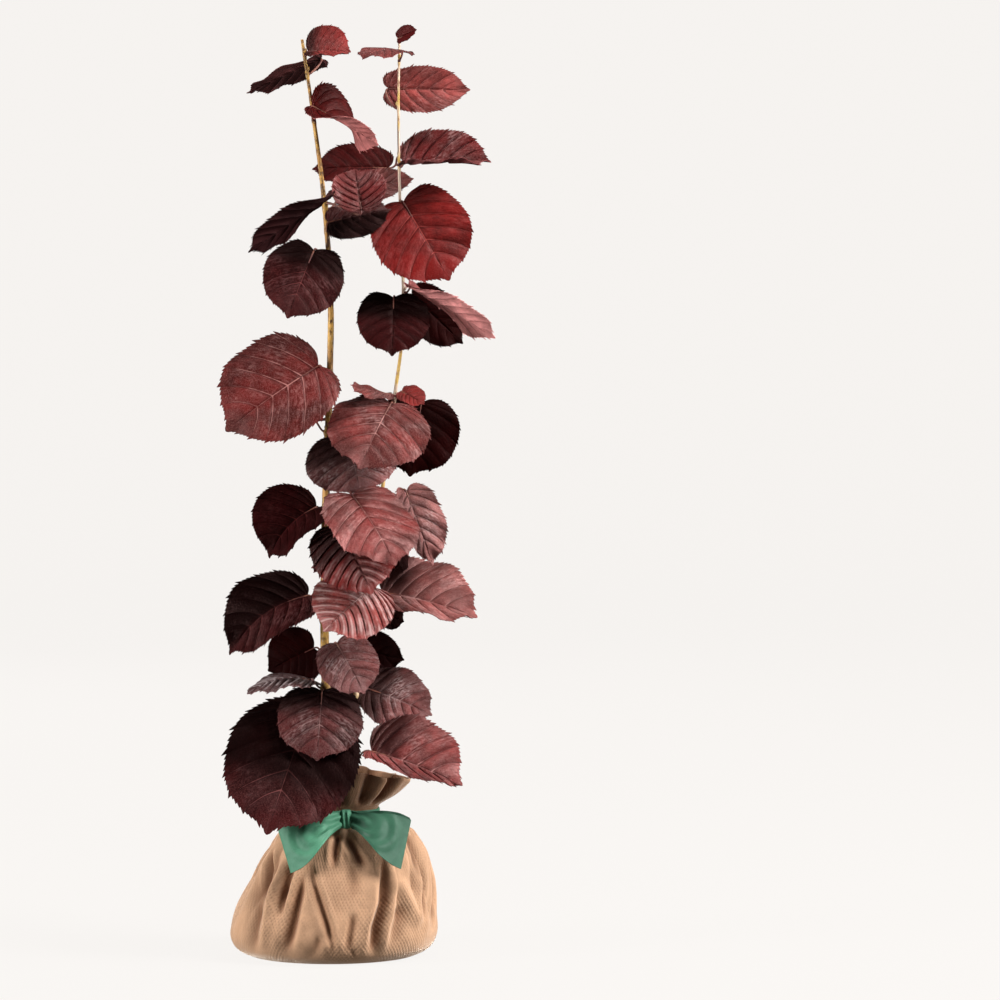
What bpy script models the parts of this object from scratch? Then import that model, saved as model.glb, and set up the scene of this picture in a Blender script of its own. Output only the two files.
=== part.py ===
"""A young purple hazel with two stems, on a root ball tied up in a jute sack with a ribbon bow.

Run it with blender --background --python part.py, or from Blender's text editor.
Metres, +Z up. The origin is the centre of the sack's flat underside, -Y is the front and +X the right.
"""

import math
from collections import namedtuple

import bmesh
import bpy
import numpy as np

CLEARANCE = 0.0003  # gap left between pieces that touch

# The sack. Each station is a height, the half width and half depth there, and how deep its folds are.
SACK_SIDES = 32
NECK_SHIFT = 0.0125  # how far the neck stands to the right of the underside's centre
NECK_RADIUS = 0.031
TIE_LOW, TIE_HIGH = 0.128, 0.141
FUNNEL_FLOOR = 0.1455
RIM_TILT = 0.009  # how much lower the rim is at its right end than in the middle
Station = namedtuple("Station", "height half_width half_depth folds")
SACK_STATIONS = (
    Station(0.0000, 0.0800, 0.0700, 0.0),
    Station(0.0040, 0.0895, 0.0785, 0.1),
    Station(0.0100, 0.0960, 0.0845, 0.3),
    Station(0.0200, 0.0995, 0.0880, 0.5),
    Station(0.0320, 0.0985, 0.0875, 0.8),
    Station(0.0490, 0.0945, 0.0840, 1.0),
    Station(0.0700, 0.0875, 0.0770, 1.2),
    Station(0.0920, 0.0790, 0.0660, 1.3),
    Station(0.1090, 0.0700, 0.0530, 1.2),
    Station(0.1195, 0.0620, 0.0410, 0.8),
    Station(0.1245, 0.0470, 0.0320, 0.2),
    Station(TIE_LOW, NECK_RADIUS, NECK_RADIUS, 0.0),
    Station(TIE_HIGH, NECK_RADIUS, NECK_RADIUS, 0.0),
    Station(0.1480, 0.0370, 0.0320, 0.5),
    Station(0.1600, 0.0490, 0.0335, 1.0),
    Station(0.1760, 0.0600, 0.0345, 1.4),
    Station(0.1780, 0.0580, 0.0325, 1.4),
    Station(0.1620, 0.0465, 0.0305, 1.0),
    Station(0.1510, 0.0330, 0.0270, 0.5),
    Station(FUNNEL_FLOOR, 0.0220, 0.0220, 0.0),
)
FOLD_DEPTH = 0.0022
FOLD_COUNT = 11

# The ribbon
RIBBON_THICKNESS = 0.0012
KNOT_CENTRE = (NECK_SHIFT, -0.0403, 0.1342)
KNOT_SIZE = (0.012, 0.0145, 0.018)
LOOP_LENGTH = 0.052
LOOP_END_HALF_WIDTH = 0.0220
LOOP_KNOT_HALF_WIDTH = 0.0080
LOOP_DROP = 0.0275
LOOP_PUFF = 0.0085

# The stems
Stem = namedtuple("Stem", "name centreline foot_radius tip_radius flare")
STEM_FOOT = FUNNEL_FLOOR + CLEARANCE
STEM_FLARE_HEIGHT = 0.010
STEM_STEPS = 16
MAIN_STEM = Stem(
    "main_stem",
    (
        (0.004, -0.008, STEM_FOOT),
        (0.000, -0.007, 0.180),
        (-0.006, -0.004, 0.254),
        (-0.007, 0.000, 0.395),
        (-0.002, 0.002, 0.561),
        (-0.001, 0.002, 0.620),
        (-0.007, 0.001, 0.720),
        (-0.019, -0.001, 0.814),
        (-0.028, -0.002, 0.876),
    ),
    0.0048,
    0.0014,
    0.0016,
)
SIDE_STEM = Stem(
    "side_stem",
    (
        (0.0170, 0.002, STEM_FOOT),
        (0.0175, 0.003, 0.190),
        (0.029, 0.007, 0.300),
        (0.046, 0.010, 0.430),
        (0.060, 0.010, 0.535),
        (0.068, 0.010, 0.600),
        (0.068, 0.010, 0.660),
        (0.065, 0.010, 0.735),
        (0.064, 0.010, 0.810),
        (0.065, 0.010, 0.876),
    ),
    0.0023,
    0.0010,
    0.0008,
)

# The leaves. A blade is laid out from its base, where its stalk ends, to its tip. Its face is the way
# that its upper side looks. In degrees, it bends down from base to tip, its halves fold up along the
# midrib and cup towards the edge, and it twists about the midrib. Sway is how far the midrib bows
# sideways, as a share of the length. Node is the height where the stalk leaves its stem, where the
# base's own height doesn't give it. Skew is how much wider the blade's right half is than its left half,
# with its tip ahead and its upper side up, as a share of the width.
LEAF_THICKNESS = 0.0014
STALK_RADIUS = 0.0011
STALK_CLEARANCE = 0.0004
STALK_SIDES_RESOLUTION = 0
BLADE_ROWS = 8
BLADE_COLUMNS = 2
LOBE_REACH = 0.11  # how far the two lobes reach back past the base, as a share of the length
TIP_REACH = 0.085  # length of the drawn-out point, as a share of the length
SIDE_VEIN_START = math.radians(112)
Leaf = namedtuple(
    "Leaf",
    "stem base tip width face bend fold cup twist sway node skew",
    defaults=(0, 0, None, 0),
)
LEAVES = (
    # from the main stem's tip down
    Leaf(
        MAIN_STEM, (-0.022, -0.006, 0.864), (0.018, -0.016, 0.863), 0.037, (-0.1, -0.75, 0.65), 20, 20, 10,
        skew=-0.35,
    ),
    Leaf(MAIN_STEM, (-0.012, 0.022, 0.858), (-0.081, 0.036, 0.827), 0.046, (-0.3, 0.32, 0.9), 8, -5, -5),
    Leaf(
        MAIN_STEM, (-0.018, -0.009, 0.812), (0.044, -0.02, 0.775), 0.05, (0.35, 0.1, 1), 10, 10, 5,
        twist=140, node=0.799, skew=-0.4,
    ),
    Leaf(MAIN_STEM, (0.016, 0.024, 0.733), (0.078, 0.018, 0.744), 0.03, (0, -1, 0.3), 10, 5, 5),
    Leaf(
        MAIN_STEM, (-0.002, -0.04, 0.725), (-0.078, -0.044, 0.673), 0.038, (-0.3, 0.6, 0.75), 5, 10, 0,
        twist=-75, node=0.722,
    ),
    Leaf(
        MAIN_STEM, (0.028, -0.03, 0.713), (0.022, -0.008, 0.752), 0.055, (0, -0.9, 0.5), 10, 18, 10,
        node=0.72,
    ),
    Leaf(MAIN_STEM, (-0.002, -0.013, 0.702), (0.056, -0.018, 0.714), 0.042, (0, -0.85, 0.5), 10, -15, -10),
    Leaf(MAIN_STEM, (-0.017, -0.014, 0.675), (-0.042, -0.034, 0.611), 0.076, (0, -1, 0.35), 20, 0, -8),
    Leaf(MAIN_STEM, (-0.017, 0.012, 0.658), (-0.027, 0.074, 0.638), 0.056, (0, 0.4, 0.9), 25, 5, -5),
    Leaf(
        MAIN_STEM, (-0.013, -0.008, 0.565), (-0.1, -0.028, 0.504), 0.107, (-0.15, -1, 0.45), 20, 2, -10,
        skew=0.1,
    ),
    Leaf(MAIN_STEM, (-0.015, 0.012, 0.546), (-0.041, 0.08, 0.528), 0.06, (0, 0.4, 0.9), 25, 5, -5),
    Leaf(MAIN_STEM, (-0.018, 0.013, 0.512), (-0.074, 0.06, 0.499), 0.06, (-0.3, 0.2, 0.9), 25, 5, -5),
    Leaf(MAIN_STEM, (0.015, -0.006, 0.497), (0.027, -0.016, 0.442), 0.092, (0, -0.65, 0.75), 20, -5, -10),
    Leaf(MAIN_STEM, (0.008, 0.012, 0.482), (0.021, 0.078, 0.47), 0.054, (0, 0.4, 0.9), 25, 5, -5),
    Leaf(
        MAIN_STEM, (-0.015, -0.004, 0.43), (-0.06, -0.01, 0.382), 0.08, (-0.5, -1, 0.5), 20, 30, 0,
        sway=0.1,
    ),
    Leaf(MAIN_STEM, (0.007, -0.018, 0.411), (0.037, -0.05, 0.35), 0.08, (0, -0.75, 0.6), 20, 5, -5),
    Leaf(MAIN_STEM, (0.005, 0.01, 0.376), (0.013, 0.074, 0.35), 0.052, (0, 0.4, 0.9), 25, 5, -5),
    Leaf(
        MAIN_STEM, (-0.024, -0.002, 0.345), (-0.098, -0.012, 0.29), 0.068, (-0.1, -0.85, 0.5), 15, 5, -5,
        sway=0.11, skew=0.2,
    ),
    Leaf(MAIN_STEM, (-0.015, 0.014, 0.332), (-0.046, 0.081, 0.319), 0.06, (-0.2, 0.4, 0.9), 25, 5, -5),
    Leaf(MAIN_STEM, (0.004, -0.018, 0.3), (0.03, -0.038, 0.254), 0.058, (0.1, -0.9, 0.4), 15, 5, -5),
    Leaf(MAIN_STEM, (-0.018, 0.026, 0.292), (-0.062, 0.03, 0.27), 0.058, (0, -1, 0.3), 15, 5, -5),
    Leaf(MAIN_STEM, (-0.02, -0.006, 0.264), (-0.081, -0.024, 0.253), 0.056, (-0.1, -0.15, 1), 50, 0, -10),
    Leaf(MAIN_STEM, (-0.01, -0.024, 0.255), (-0.015, -0.052, 0.192), 0.082, (0, -1, 0.45), 15, -5, -8),
    Leaf(
        MAIN_STEM, (-0.023, -0.012, 0.234), (-0.062, -0.078, 0.126), 0.126, (-0.05, -0.9, 0.45), 15, 0, -5,
    ),
    Leaf(MAIN_STEM, (-0.005, 0.008, 0.224), (0.002, 0.08, 0.199), 0.062, (0, 0.4, 0.9), 25, 5, -5),
    # from the side stem's tip down
    Leaf(SIDE_STEM, (0.064, 0.004, 0.877), (0.081, -0.004, 0.885), 0.018, (0, -0.8, 0.5), 10, 20, 0),
    Leaf(SIDE_STEM, (0.066, -0.006, 0.865), (0.03, -0.045, 0.855), 0.046, (0, -0.2, 1), 40, 0, -10),
    Leaf(
        SIDE_STEM, (0.055, 0.0205, 0.83), (0.132, 0.014, 0.829), 0.044, (0, -1, 0.05), 0, 8, 0,
        twist=35, node=0.811,
    ),
    Leaf(SIDE_STEM, (0.07, 0.006, 0.759), (0.151, -0.01, 0.759), 0.062, (0, -0.6, 0.8), 15, 30, 10),
    Leaf(
        SIDE_STEM, (0.054, 0.044, 0.755), (-0.018, 0.05, 0.754), 0.046, (0, -1, 0.45), 20, 10, 10,
        node=0.764,
    ),
    Leaf(SIDE_STEM, (0.068, -0.008, 0.721), (0.111, -0.03, 0.647), 0.094, (0, -1, 0.3), 20, 0, -5),
    Leaf(SIDE_STEM, (0.053, 0.022, 0.712), (-0.003, 0.068, 0.699), 0.06, (-0.3, 0.3, 0.9), 25, 5, -5),
    Leaf(SIDE_STEM, (0.069, 0.022, 0.7), (0.08, 0.082, 0.678), 0.062, (0, 0.4, 0.9), 25, 5, -5),
    Leaf(SIDE_STEM, (0.076, 0.026, 0.672), (0.106, 0.092, 0.659), 0.06, (0.2, 0.4, 0.9), 25, 5, -5),
    Leaf(
        SIDE_STEM, (0.077, 0.006, 0.64), (0.155, -0.014, 0.592), 0.046, (0.2, 0.45, 0.85), 5, 5, 0,
        twist=60,
    ),
    Leaf(SIDE_STEM, (0.077, 0.032, 0.632), (0.126, 0.04, 0.586), 0.048, (0, -1, 0.2), 10, 5, -5),
    Leaf(SIDE_STEM, (0.059, -0.008, 0.63), (0.057, -0.03, 0.575), 0.068, (0, -1, 0.4), 20, 5, -5),
    Leaf(SIDE_STEM, (0.067, 0.004, 0.54), (0.088, -0.008, 0.528), 0.025, (0.2, -0.8, 0.6), 15, 10, 0),
    Leaf(
        SIDE_STEM, (0.056, -0.004, 0.538), (0.018, -0.02, 0.547), 0.024, (-0.1, -0.5, 0.85), -10, -10, 0,
        twist=30,
    ),
    Leaf(SIDE_STEM, (0.086, 0.028, 0.529), (0.075, 0.032, 0.458), 0.084, (0.2, -1, 0.1), 15, 0, -8),
    Leaf(SIDE_STEM, (0.056, -0.014, 0.529), (0.026, -0.058, 0.469), 0.098, (0, -0.75, 0.65), 25, 0, -15),
    Leaf(
        SIDE_STEM, (0.071, 0.012, 0.444), (0.096, 0, 0.374), 0.04, (0.1, -0.95, 0.25), 15, 5, -10,
        skew=-0.3,
    ),
    Leaf(
        SIDE_STEM, (0.019, -0.034, 0.443), (0.059, -0.077, 0.379), 0.093, (0.3, -0.65, 0.68), 20, 0, -8,
        skew=-0.04,
    ),
    Leaf(SIDE_STEM, (0.05, 0.024, 0.433), (0.039, 0.086, 0.413), 0.066, (0, 0.4, 0.9), 25, 5, -5),
    Leaf(SIDE_STEM, (0.05, 0.026, 0.412), (0.08, 0.092, 0.399), 0.06, (0.2, 0.4, 0.9), 25, 5, -5),
    Leaf(SIDE_STEM, (0.064, 0.022, 0.396), (0.068, 0.018, 0.365), 0.026, (0.9, -0.35, 0.1), 15, 10, 0),
    Leaf(SIDE_STEM, (0.038, -0.024, 0.354), (-0.008, -0.054, 0.315), 0.08, (0, -0.8, 0.6), 20, 0, -5),
    Leaf(
        SIDE_STEM, (0.048, 0.012, 0.347), (0.138, -0.004, 0.324), 0.072, (0.1, -0.65, 0.75), 20, 15, -12,
        skew=-0.35,
    ),
    Leaf(SIDE_STEM, (0.046, 0.024, 0.327), (0.069, 0.03, 0.317), 0.026, (0, -1, 0.3), 10, 5, 0),
    Leaf(SIDE_STEM, (0.013, 0.034, 0.294), (0.069, 0.042, 0.279), 0.042, (0, -1, 0.2), 10, 5, -5),
    Leaf(SIDE_STEM, (0.021, 0.034, 0.252), (0.015, 0.088, 0.235), 0.048, (0, 0.4, 0.9), 25, 5, -5),
    Leaf(SIDE_STEM, (0.034, 0.010, 0.254), (0.095, 0.004, 0.229), 0.066, (0.1, -0.8, 0.6), 20, 8, -8),
    Leaf(
        SIDE_STEM, (0.037, -0.04, 0.199), (0.122, -0.056, 0.168), 0.064, (0.1, -0.75, 0.65), 22, 10, -8,
        skew=-0.55,
    ),
)

STEMS = (MAIN_STEM, SIDE_STEM)
COLOURS = {
    "jute": ((0.46, 0.27, 0.14), 0.95),
    "ribbon": ((0.09, 0.25, 0.16), 0.50),
    "bark": ((0.33, 0.20, 0.07), 0.75),
    "leaf": ((0.12, 0.025, 0.024), 0.50),
}


def clear_scene():
    for obj in list(bpy.data.objects):
        bpy.data.objects.remove(obj)


def new_collection(name):
    collection = bpy.data.collections.new(name)
    bpy.context.scene.collection.children.link(collection)
    return collection


def new_material(name):
    colour, roughness = COLOURS[name]
    material = bpy.data.materials.new(name)
    material.use_nodes = True
    shader = material.node_tree.nodes["Principled BSDF"]
    shader.inputs["Base Color"].default_value = (*colour, 1)
    shader.inputs["Roughness"].default_value = roughness
    return material


def mesh_object(name, points, faces, collection, material):
    mesh = bpy.data.meshes.new(name)
    mesh.from_pydata([tuple(p) for p in points], [], faces)
    mesh.materials.append(material)
    obj = bpy.data.objects.new(name, mesh)
    collection.objects.link(obj)
    return obj


def weld(mesh, distance):
    """Makes points closer than this one, and turns every face outwards."""
    cage = bmesh.new()
    cage.from_mesh(mesh)
    bmesh.ops.remove_doubles(cage, verts=cage.verts, dist=distance)
    bmesh.ops.recalc_face_normals(cage, faces=cage.faces)
    cage.to_mesh(mesh)
    cage.free()


def evaluated_mesh(obj):
    """A copy of the object's mesh with its modifiers, or of its curve as a mesh."""
    bpy.context.view_layer.update()
    graph = bpy.context.evaluated_depsgraph_get()
    return bpy.data.meshes.new_from_object(obj.evaluated_get(graph))


def smooth(share):
    share = np.clip(share, 0, 1)
    return share * share * (3 - 2 * share)


def tube(name, points, radii, sides_resolution, collection, material):
    """A tapering tube along points, as a curve object with filled caps."""
    curve = bpy.data.curves.new(name, "CURVE")
    curve.dimensions = "3D"
    curve.bevel_depth = 1
    curve.bevel_resolution = sides_resolution
    curve.use_fill_caps = True
    spline = curve.splines.new("POLY")
    spline.points.add(len(points) - 1)
    for knot, place, radius in zip(spline.points, points, radii):
        knot.co = (*place, 1)
        knot.radius = radius
    curve.materials.append(material)
    obj = bpy.data.objects.new(name, curve)
    collection.objects.link(obj)
    return obj


def stem_point(stem, height):
    """The stem's centre at a height, on a smooth curve through its centreline."""
    line = np.array(stem.centreline)
    slopes = np.gradient(line[:, :2], line[:, 2], axis=0)
    slopes[0] = 0  # it leaves the ground upright, so that its cut is level
    height = min(max(height, line[0, 2]), line[-1, 2])
    i = min(int(np.searchsorted(line[:, 2], height, side="right")) - 1, len(line) - 2)
    step = line[i + 1, 2] - line[i, 2]
    t = (height - line[i, 2]) / step
    place = (
        (2 * t**3 - 3 * t**2 + 1) * line[i, :2]
        + (t**3 - 2 * t**2 + t) * step * slopes[i]
        + (3 * t**2 - 2 * t**3) * line[i + 1, :2]
        + (t**3 - t**2) * step * slopes[i + 1]
    )
    return np.array([*place, height])


def stem_radius(stem, height):
    low, high = stem.centreline[0][2], stem.centreline[-1][2]
    share = (height - low) / (high - low)
    flare = stem.flare * math.exp(-(height - low) / STEM_FLARE_HEIGHT)
    return stem.tip_radius + (stem.foot_radius - stem.tip_radius) * (1 - share) ** 0.85 + flare


def build_stem(stem, collection, material):
    low, high = stem.centreline[0][2], stem.centreline[-1][2]
    first_steps = [low, low + STEM_FLARE_HEIGHT / 2, low + 2 * STEM_FLARE_HEIGHT]
    heights = first_steps + list(np.linspace(first_steps[-1], high, STEM_STEPS)[1:])
    points = [stem_point(stem, h) for h in heights]
    points[1][:2] = points[0][:2]
    radii = [stem_radius(stem, h) for h in heights]
    return tube(stem.name, points, radii, 2, collection, material)


def margin(angle):
    """A point on the blade's edge, as shares of its length and of half its width.

    The angle is 0 at the tip and pi at the base.
    """
    point = TIP_REACH * np.exp(-((angle / 0.20) ** 2))
    notch = LOBE_REACH * np.exp(-(((math.pi - angle) / 0.24) ** 2))
    body = (1 - TIP_REACH + LOBE_REACH) / 2
    roundness = np.where(angle > math.pi / 2, 0.75, 0.85)
    return body - LOBE_REACH + body * np.cos(angle) + point + notch, np.abs(np.sin(angle)) ** roundness


def vein_start(angle):
    """Where the side vein that ends at this angle leaves the midrib, as a share of the length."""
    return np.clip((SIDE_VEIN_START - angle) / SIDE_VEIN_START, 0, 1) ** 1.4


def blade_axes(leaf):
    """The blade's chord, and unit vectors along it, out of its upper side and to its right."""
    chord = np.array(leaf.tip) - np.array(leaf.base)
    along = chord / np.linalg.norm(chord)
    face = np.array(leaf.face, float)
    up = face - (face @ along) * along
    up /= np.linalg.norm(up)
    return chord, along, up, np.cross(along, up)


def blade_points(leaf, x, y):
    """Places on the blade for x, a share of its length from the base, and y, a share of half its width."""
    chord, along, up, right = blade_axes(leaf)
    bend = math.radians(leaf.bend) or 1e-4
    length = np.linalg.norm(chord) * (bend / 2) / math.sin(bend / 2)
    tilt = bend / 2 - bend * x
    reach = length * (math.sin(bend / 2) - np.sin(tilt)) / bend
    rise = length * (np.cos(tilt) - math.cos(bend / 2)) / bend
    sideways = leaf.sway * length * 4 * x * (1 - x)
    half_width = leaf.width / 2 * (1 + leaf.skew * np.sign(y))
    fold, cup = math.radians(leaf.fold), math.radians(leaf.cup) or 1e-4
    across = half_width * np.abs(y)
    turn = cup / half_width
    out = np.sign(y) * (np.sin(fold + turn * across) - math.sin(fold)) / turn
    lift = (math.cos(fold) - np.cos(fold + turn * across)) / turn
    twist = math.radians(leaf.twist) * (x - 0.5)
    side = out * np.cos(twist) - lift * np.sin(twist)
    off = lift * np.cos(twist) + out * np.sin(twist)
    forward = reach - off * np.sin(tilt)
    above = rise + off * np.cos(tilt)
    return (
        np.array(leaf.base)
        + np.multiply.outer(forward, along)
        + np.multiply.outer(above, up)
        + np.multiply.outer(sideways + side, right)
    )


def blade_surface(leaf):
    """The blade as an open sheet: rows that follow the side veins from edge to edge."""
    angles = math.pi * np.linspace(1, 0, BLADE_ROWS + 1) ** 1.15
    shares = np.linspace(-1, 1, 2 * BLADE_COLUMNS + 1)
    edge_x, edge_y = margin(angles)
    start = vein_start(angles)
    x = start[:, None] + (edge_x - start)[:, None] * np.abs(shares)[None, :]
    y = edge_y[:, None] * shares[None, :]
    points = blade_points(leaf, x, y).reshape(-1, 3)
    wide = len(shares)
    faces = [
        (r * wide + c, r * wide + c + 1, (r + 1) * wide + c + 1, (r + 1) * wide + c)
        for r in range(BLADE_ROWS)
        for c in range(wide - 1)
    ]
    return points, faces


def stalk_line(leaf):
    """From the stem's skin to the blade's base, and on along the midrib inside the blade."""
    base = np.array(leaf.base)
    inside = [blade_points(leaf, np.array(x), np.array(0.0)) for x in (0.0, 0.12)]
    spread = np.linalg.norm(base[:2] - stem_point(leaf.stem, base[2])[:2])
    node = leaf.node if leaf.node is not None else base[2] - 0.55 * spread
    centre = stem_point(leaf.stem, node)
    outwards = base - centre
    outwards[2] = 0
    outwards /= np.linalg.norm(outwards)
    foot = centre + outwards * (stem_radius(leaf.stem, node) + STALK_CLEARANCE)
    start = foot + outwards * STALK_RADIUS
    span = np.linalg.norm(base - start)
    start_pull = start + outwards * span * 0.35
    end_pull = base - (inside[1] - base) / np.linalg.norm(inside[1] - base) * span * 0.35
    stretch = [
        (1 - t) ** 3 * start + 3 * (1 - t) ** 2 * t * start_pull + 3 * (1 - t) * t**2 * end_pull + t**3 * base
        for t in (0.0, 0.5)
    ]
    return [foot, *stretch, *inside]


def build_leaf(name, leaf, collection, material):
    points, faces = blade_surface(leaf)
    obj = mesh_object(name, points, faces, collection, material)
    weld(obj.data, 0.00005)
    shell = obj.modifiers.new("thickness", "SOLIDIFY")
    shell.thickness = LEAF_THICKNESS
    shell.offset = 0
    stalks = new_collection(name + "_stalk")
    line = stalk_line(leaf)
    radii = [STALK_RADIUS] * (len(line) - 1) + [STALK_RADIUS * 0.8]
    curve = tube(name + "_curve", line, radii, STALK_SIDES_RESOLUTION, stalks, material)
    stalk = bpy.data.objects.new(name + "_tube", evaluated_mesh(curve))
    weld(stalk.data, 0.00001)
    stalks.objects.link(stalk)
    bpy.data.objects.remove(curve)
    join = obj.modifiers.new("stalk", "BOOLEAN")
    join.operation = "UNION"
    join.operand_type = "COLLECTION"
    join.collection = stalks
    join.solver = "MANIFOLD"
    joined = evaluated_mesh(obj)
    obj.modifiers.clear()
    obj.data = joined
    bpy.data.objects.remove(stalk)
    bpy.data.collections.remove(stalks)
    return obj


def sack_point(station, angle):
    """A point on the sack's skin, with folds that run up and down."""
    shift = NECK_SHIFT * float(smooth((station.height - 0.015) / 0.095))
    folds = FOLD_DEPTH * station.folds * (math.cos(FOLD_COUNT * angle) + 0.5 * math.sin(5 * angle + 1.0))
    above_floor = max(0, station.height - FUNNEL_FLOOR) / (SACK_STATIONS[-5].height - FUNNEL_FLOOR)
    x = (station.half_width + folds) * math.cos(angle)
    y = (station.half_depth + folds) * math.sin(angle)
    return (shift + x, y, station.height - RIM_TILT * min(above_floor, 1) * math.cos(angle))


def build_sack(collection, material):
    """The filled sack with its flared rim, as one loft from the underside to the floor inside the rim."""
    points = [
        sack_point(station, 2 * math.pi * i / SACK_SIDES)
        for station in SACK_STATIONS
        for i in range(SACK_SIDES)
    ]
    faces = [
        (r * SACK_SIDES + i, r * SACK_SIDES + j, (r + 1) * SACK_SIDES + j, (r + 1) * SACK_SIDES + i)
        for r in range(len(SACK_STATIONS) - 1)
        for i, j in zip(range(SACK_SIDES), [*range(1, SACK_SIDES), 0])
    ]
    last = (len(SACK_STATIONS) - 1) * SACK_SIDES
    faces.append(tuple(reversed(range(SACK_SIDES))))
    faces.append(tuple(range(last, last + SACK_SIDES)))
    return mesh_object("sack", points, faces, collection, material)


def build_ribbon_band(collection, material):
    """The ribbon round the sack's neck."""
    inner = NECK_RADIUS + CLEARANCE
    profile = [(inner, 0, TIE_HIGH - CLEARANCE), (inner, 0, TIE_LOW + CLEARANCE)]
    band = mesh_object("ribbon_band", profile, [], collection, material)
    band.data.edges.add(1)
    band.data.edges[0].vertices = (0, 1)
    band.location.x = NECK_SHIFT
    turn = band.modifiers.new("turn", "SCREW")
    turn.steps = turn.render_steps = SACK_SIDES
    turn.use_merge_vertices = True
    turn.merge_threshold = 0.00001
    wall = band.modifiers.new("wall", "SOLIDIFY")
    wall.thickness = RIBBON_THICKNESS
    wall.offset = 1
    return band


def build_knot(collection, material):
    cage = bmesh.new()
    bmesh.ops.create_cube(cage, size=1)
    bmesh.ops.scale(cage, vec=KNOT_SIZE, verts=cage.verts)
    mesh = bpy.data.meshes.new("bow_knot")
    cage.to_mesh(mesh)
    cage.free()
    mesh.materials.append(material)
    knot = bpy.data.objects.new("bow_knot", mesh)
    knot.location = KNOT_CENTRE
    collection.objects.link(knot)
    edges = knot.modifiers.new("edges", "BEVEL")
    edges.width = 0.004
    edges.segments = 2
    return knot


def loop_point(side, layer, along, across):
    """A point on a bow loop.

    Side is -1 left or 1 right, layer is 0 at the back or 1 in front, and across runs up from -1 to 1.
    """
    share = float(smooth(along))
    half_width = LOOP_KNOT_HALF_WIDTH + (LOOP_END_HALF_WIDTH - LOOP_KNOT_HALF_WIDTH) * share
    x = KNOT_SIZE[0] / 2 + CLEARANCE + LOOP_LENGTH * along + 0.006 * share * across
    z = KNOT_CENTRE[2] - LOOP_DROP * along**1.2 + half_width * across
    lean = 0.004 + 0.008 * float(smooth(along * 2))
    puff = 0.0018 + LOOP_PUFF * math.sin(math.pi * min(along, 1) ** 0.8) ** 0.8
    y = -0.0440 - 0.013 * float(smooth(along * 1.6)) + lean * across - layer * puff
    return (NECK_SHIFT + side * x, y, z)


def build_loop(side, name, collection, material):
    """A bow loop: the ribbon runs out in front, turns at the end and comes back behind."""
    steps, rows = 7, 4
    line = [(1, i / steps) for i in range(steps + 1)] + [(0, i / steps) for i in range(steps, -1, -1)]
    points = [
        loop_point(side, layer, along, 2 * r / rows - 1) for layer, along in line for r in range(rows + 1)
    ]
    wide = rows + 1
    faces = [
        (i * wide + r, i * wide + r + 1, (i + 1) * wide + r + 1, (i + 1) * wide + r)
        for i in range(len(line) - 1)
        for r in range(rows)
    ]
    loop = mesh_object(name, points, faces, collection, material)
    weld(loop.data, 0.0001)
    wall = loop.modifiers.new("wall", "SOLIDIFY")
    wall.thickness = RIBBON_THICKNESS
    wall.offset = 0
    return loop


def main():
    clear_scene()
    plant = new_collection("purple_hazel")
    materials = {name: new_material(name) for name in COLOURS}
    build_sack(plant, materials["jute"])
    build_ribbon_band(plant, materials["ribbon"])
    build_knot(plant, materials["ribbon"])
    build_loop(-1, "bow_loop_left", plant, materials["ribbon"])
    build_loop(1, "bow_loop_right", plant, materials["ribbon"])
    for stem in STEMS:
        build_stem(stem, plant, materials["bark"])
        leaves = [leaf for leaf in LEAVES if leaf.stem is stem]
        for number, leaf in enumerate(leaves, 1):
            name = stem.name.replace("stem", f"leaf_{number:02d}")
            build_leaf(name, leaf, plant, materials["leaf"])


if __name__ == "__main__":
    main()
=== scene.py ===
"""The looks of a young purple hazel in a tied jute sack: leaves, bark, buds, cloth, ribbon and the stage.

Metres, +Z up. The front is -Y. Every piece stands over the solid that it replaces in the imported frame, and
the leaves, stems, sack and bow are laid out again here by the rules of those solids, with their finer form.
"""

import math
from collections import namedtuple

import bmesh
import bpy
import numpy as np
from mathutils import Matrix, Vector, noise


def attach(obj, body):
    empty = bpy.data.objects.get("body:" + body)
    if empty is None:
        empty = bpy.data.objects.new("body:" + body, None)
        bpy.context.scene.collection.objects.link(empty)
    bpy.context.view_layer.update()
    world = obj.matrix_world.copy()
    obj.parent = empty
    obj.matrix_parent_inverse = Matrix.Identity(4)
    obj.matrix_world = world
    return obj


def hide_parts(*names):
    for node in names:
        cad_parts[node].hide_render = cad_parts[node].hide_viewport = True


bl_info = {
    "name": "Purple hazel",
    "version": (1, 0, 0),
    "blender": (4, 5, 0),
    "location": "3D View > Sidebar > Hazel",
    "description": "Dresses the frame of a young purple hazel with leaves, bark, jute and ribbon",
    "category": "Add Mesh",
}

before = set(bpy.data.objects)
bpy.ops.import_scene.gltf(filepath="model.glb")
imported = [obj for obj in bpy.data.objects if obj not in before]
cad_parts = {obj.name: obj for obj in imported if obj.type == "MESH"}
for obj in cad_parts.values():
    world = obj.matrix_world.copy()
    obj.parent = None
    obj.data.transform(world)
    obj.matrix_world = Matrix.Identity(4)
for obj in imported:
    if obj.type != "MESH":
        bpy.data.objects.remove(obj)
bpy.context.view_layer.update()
BODY = "root"

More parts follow.
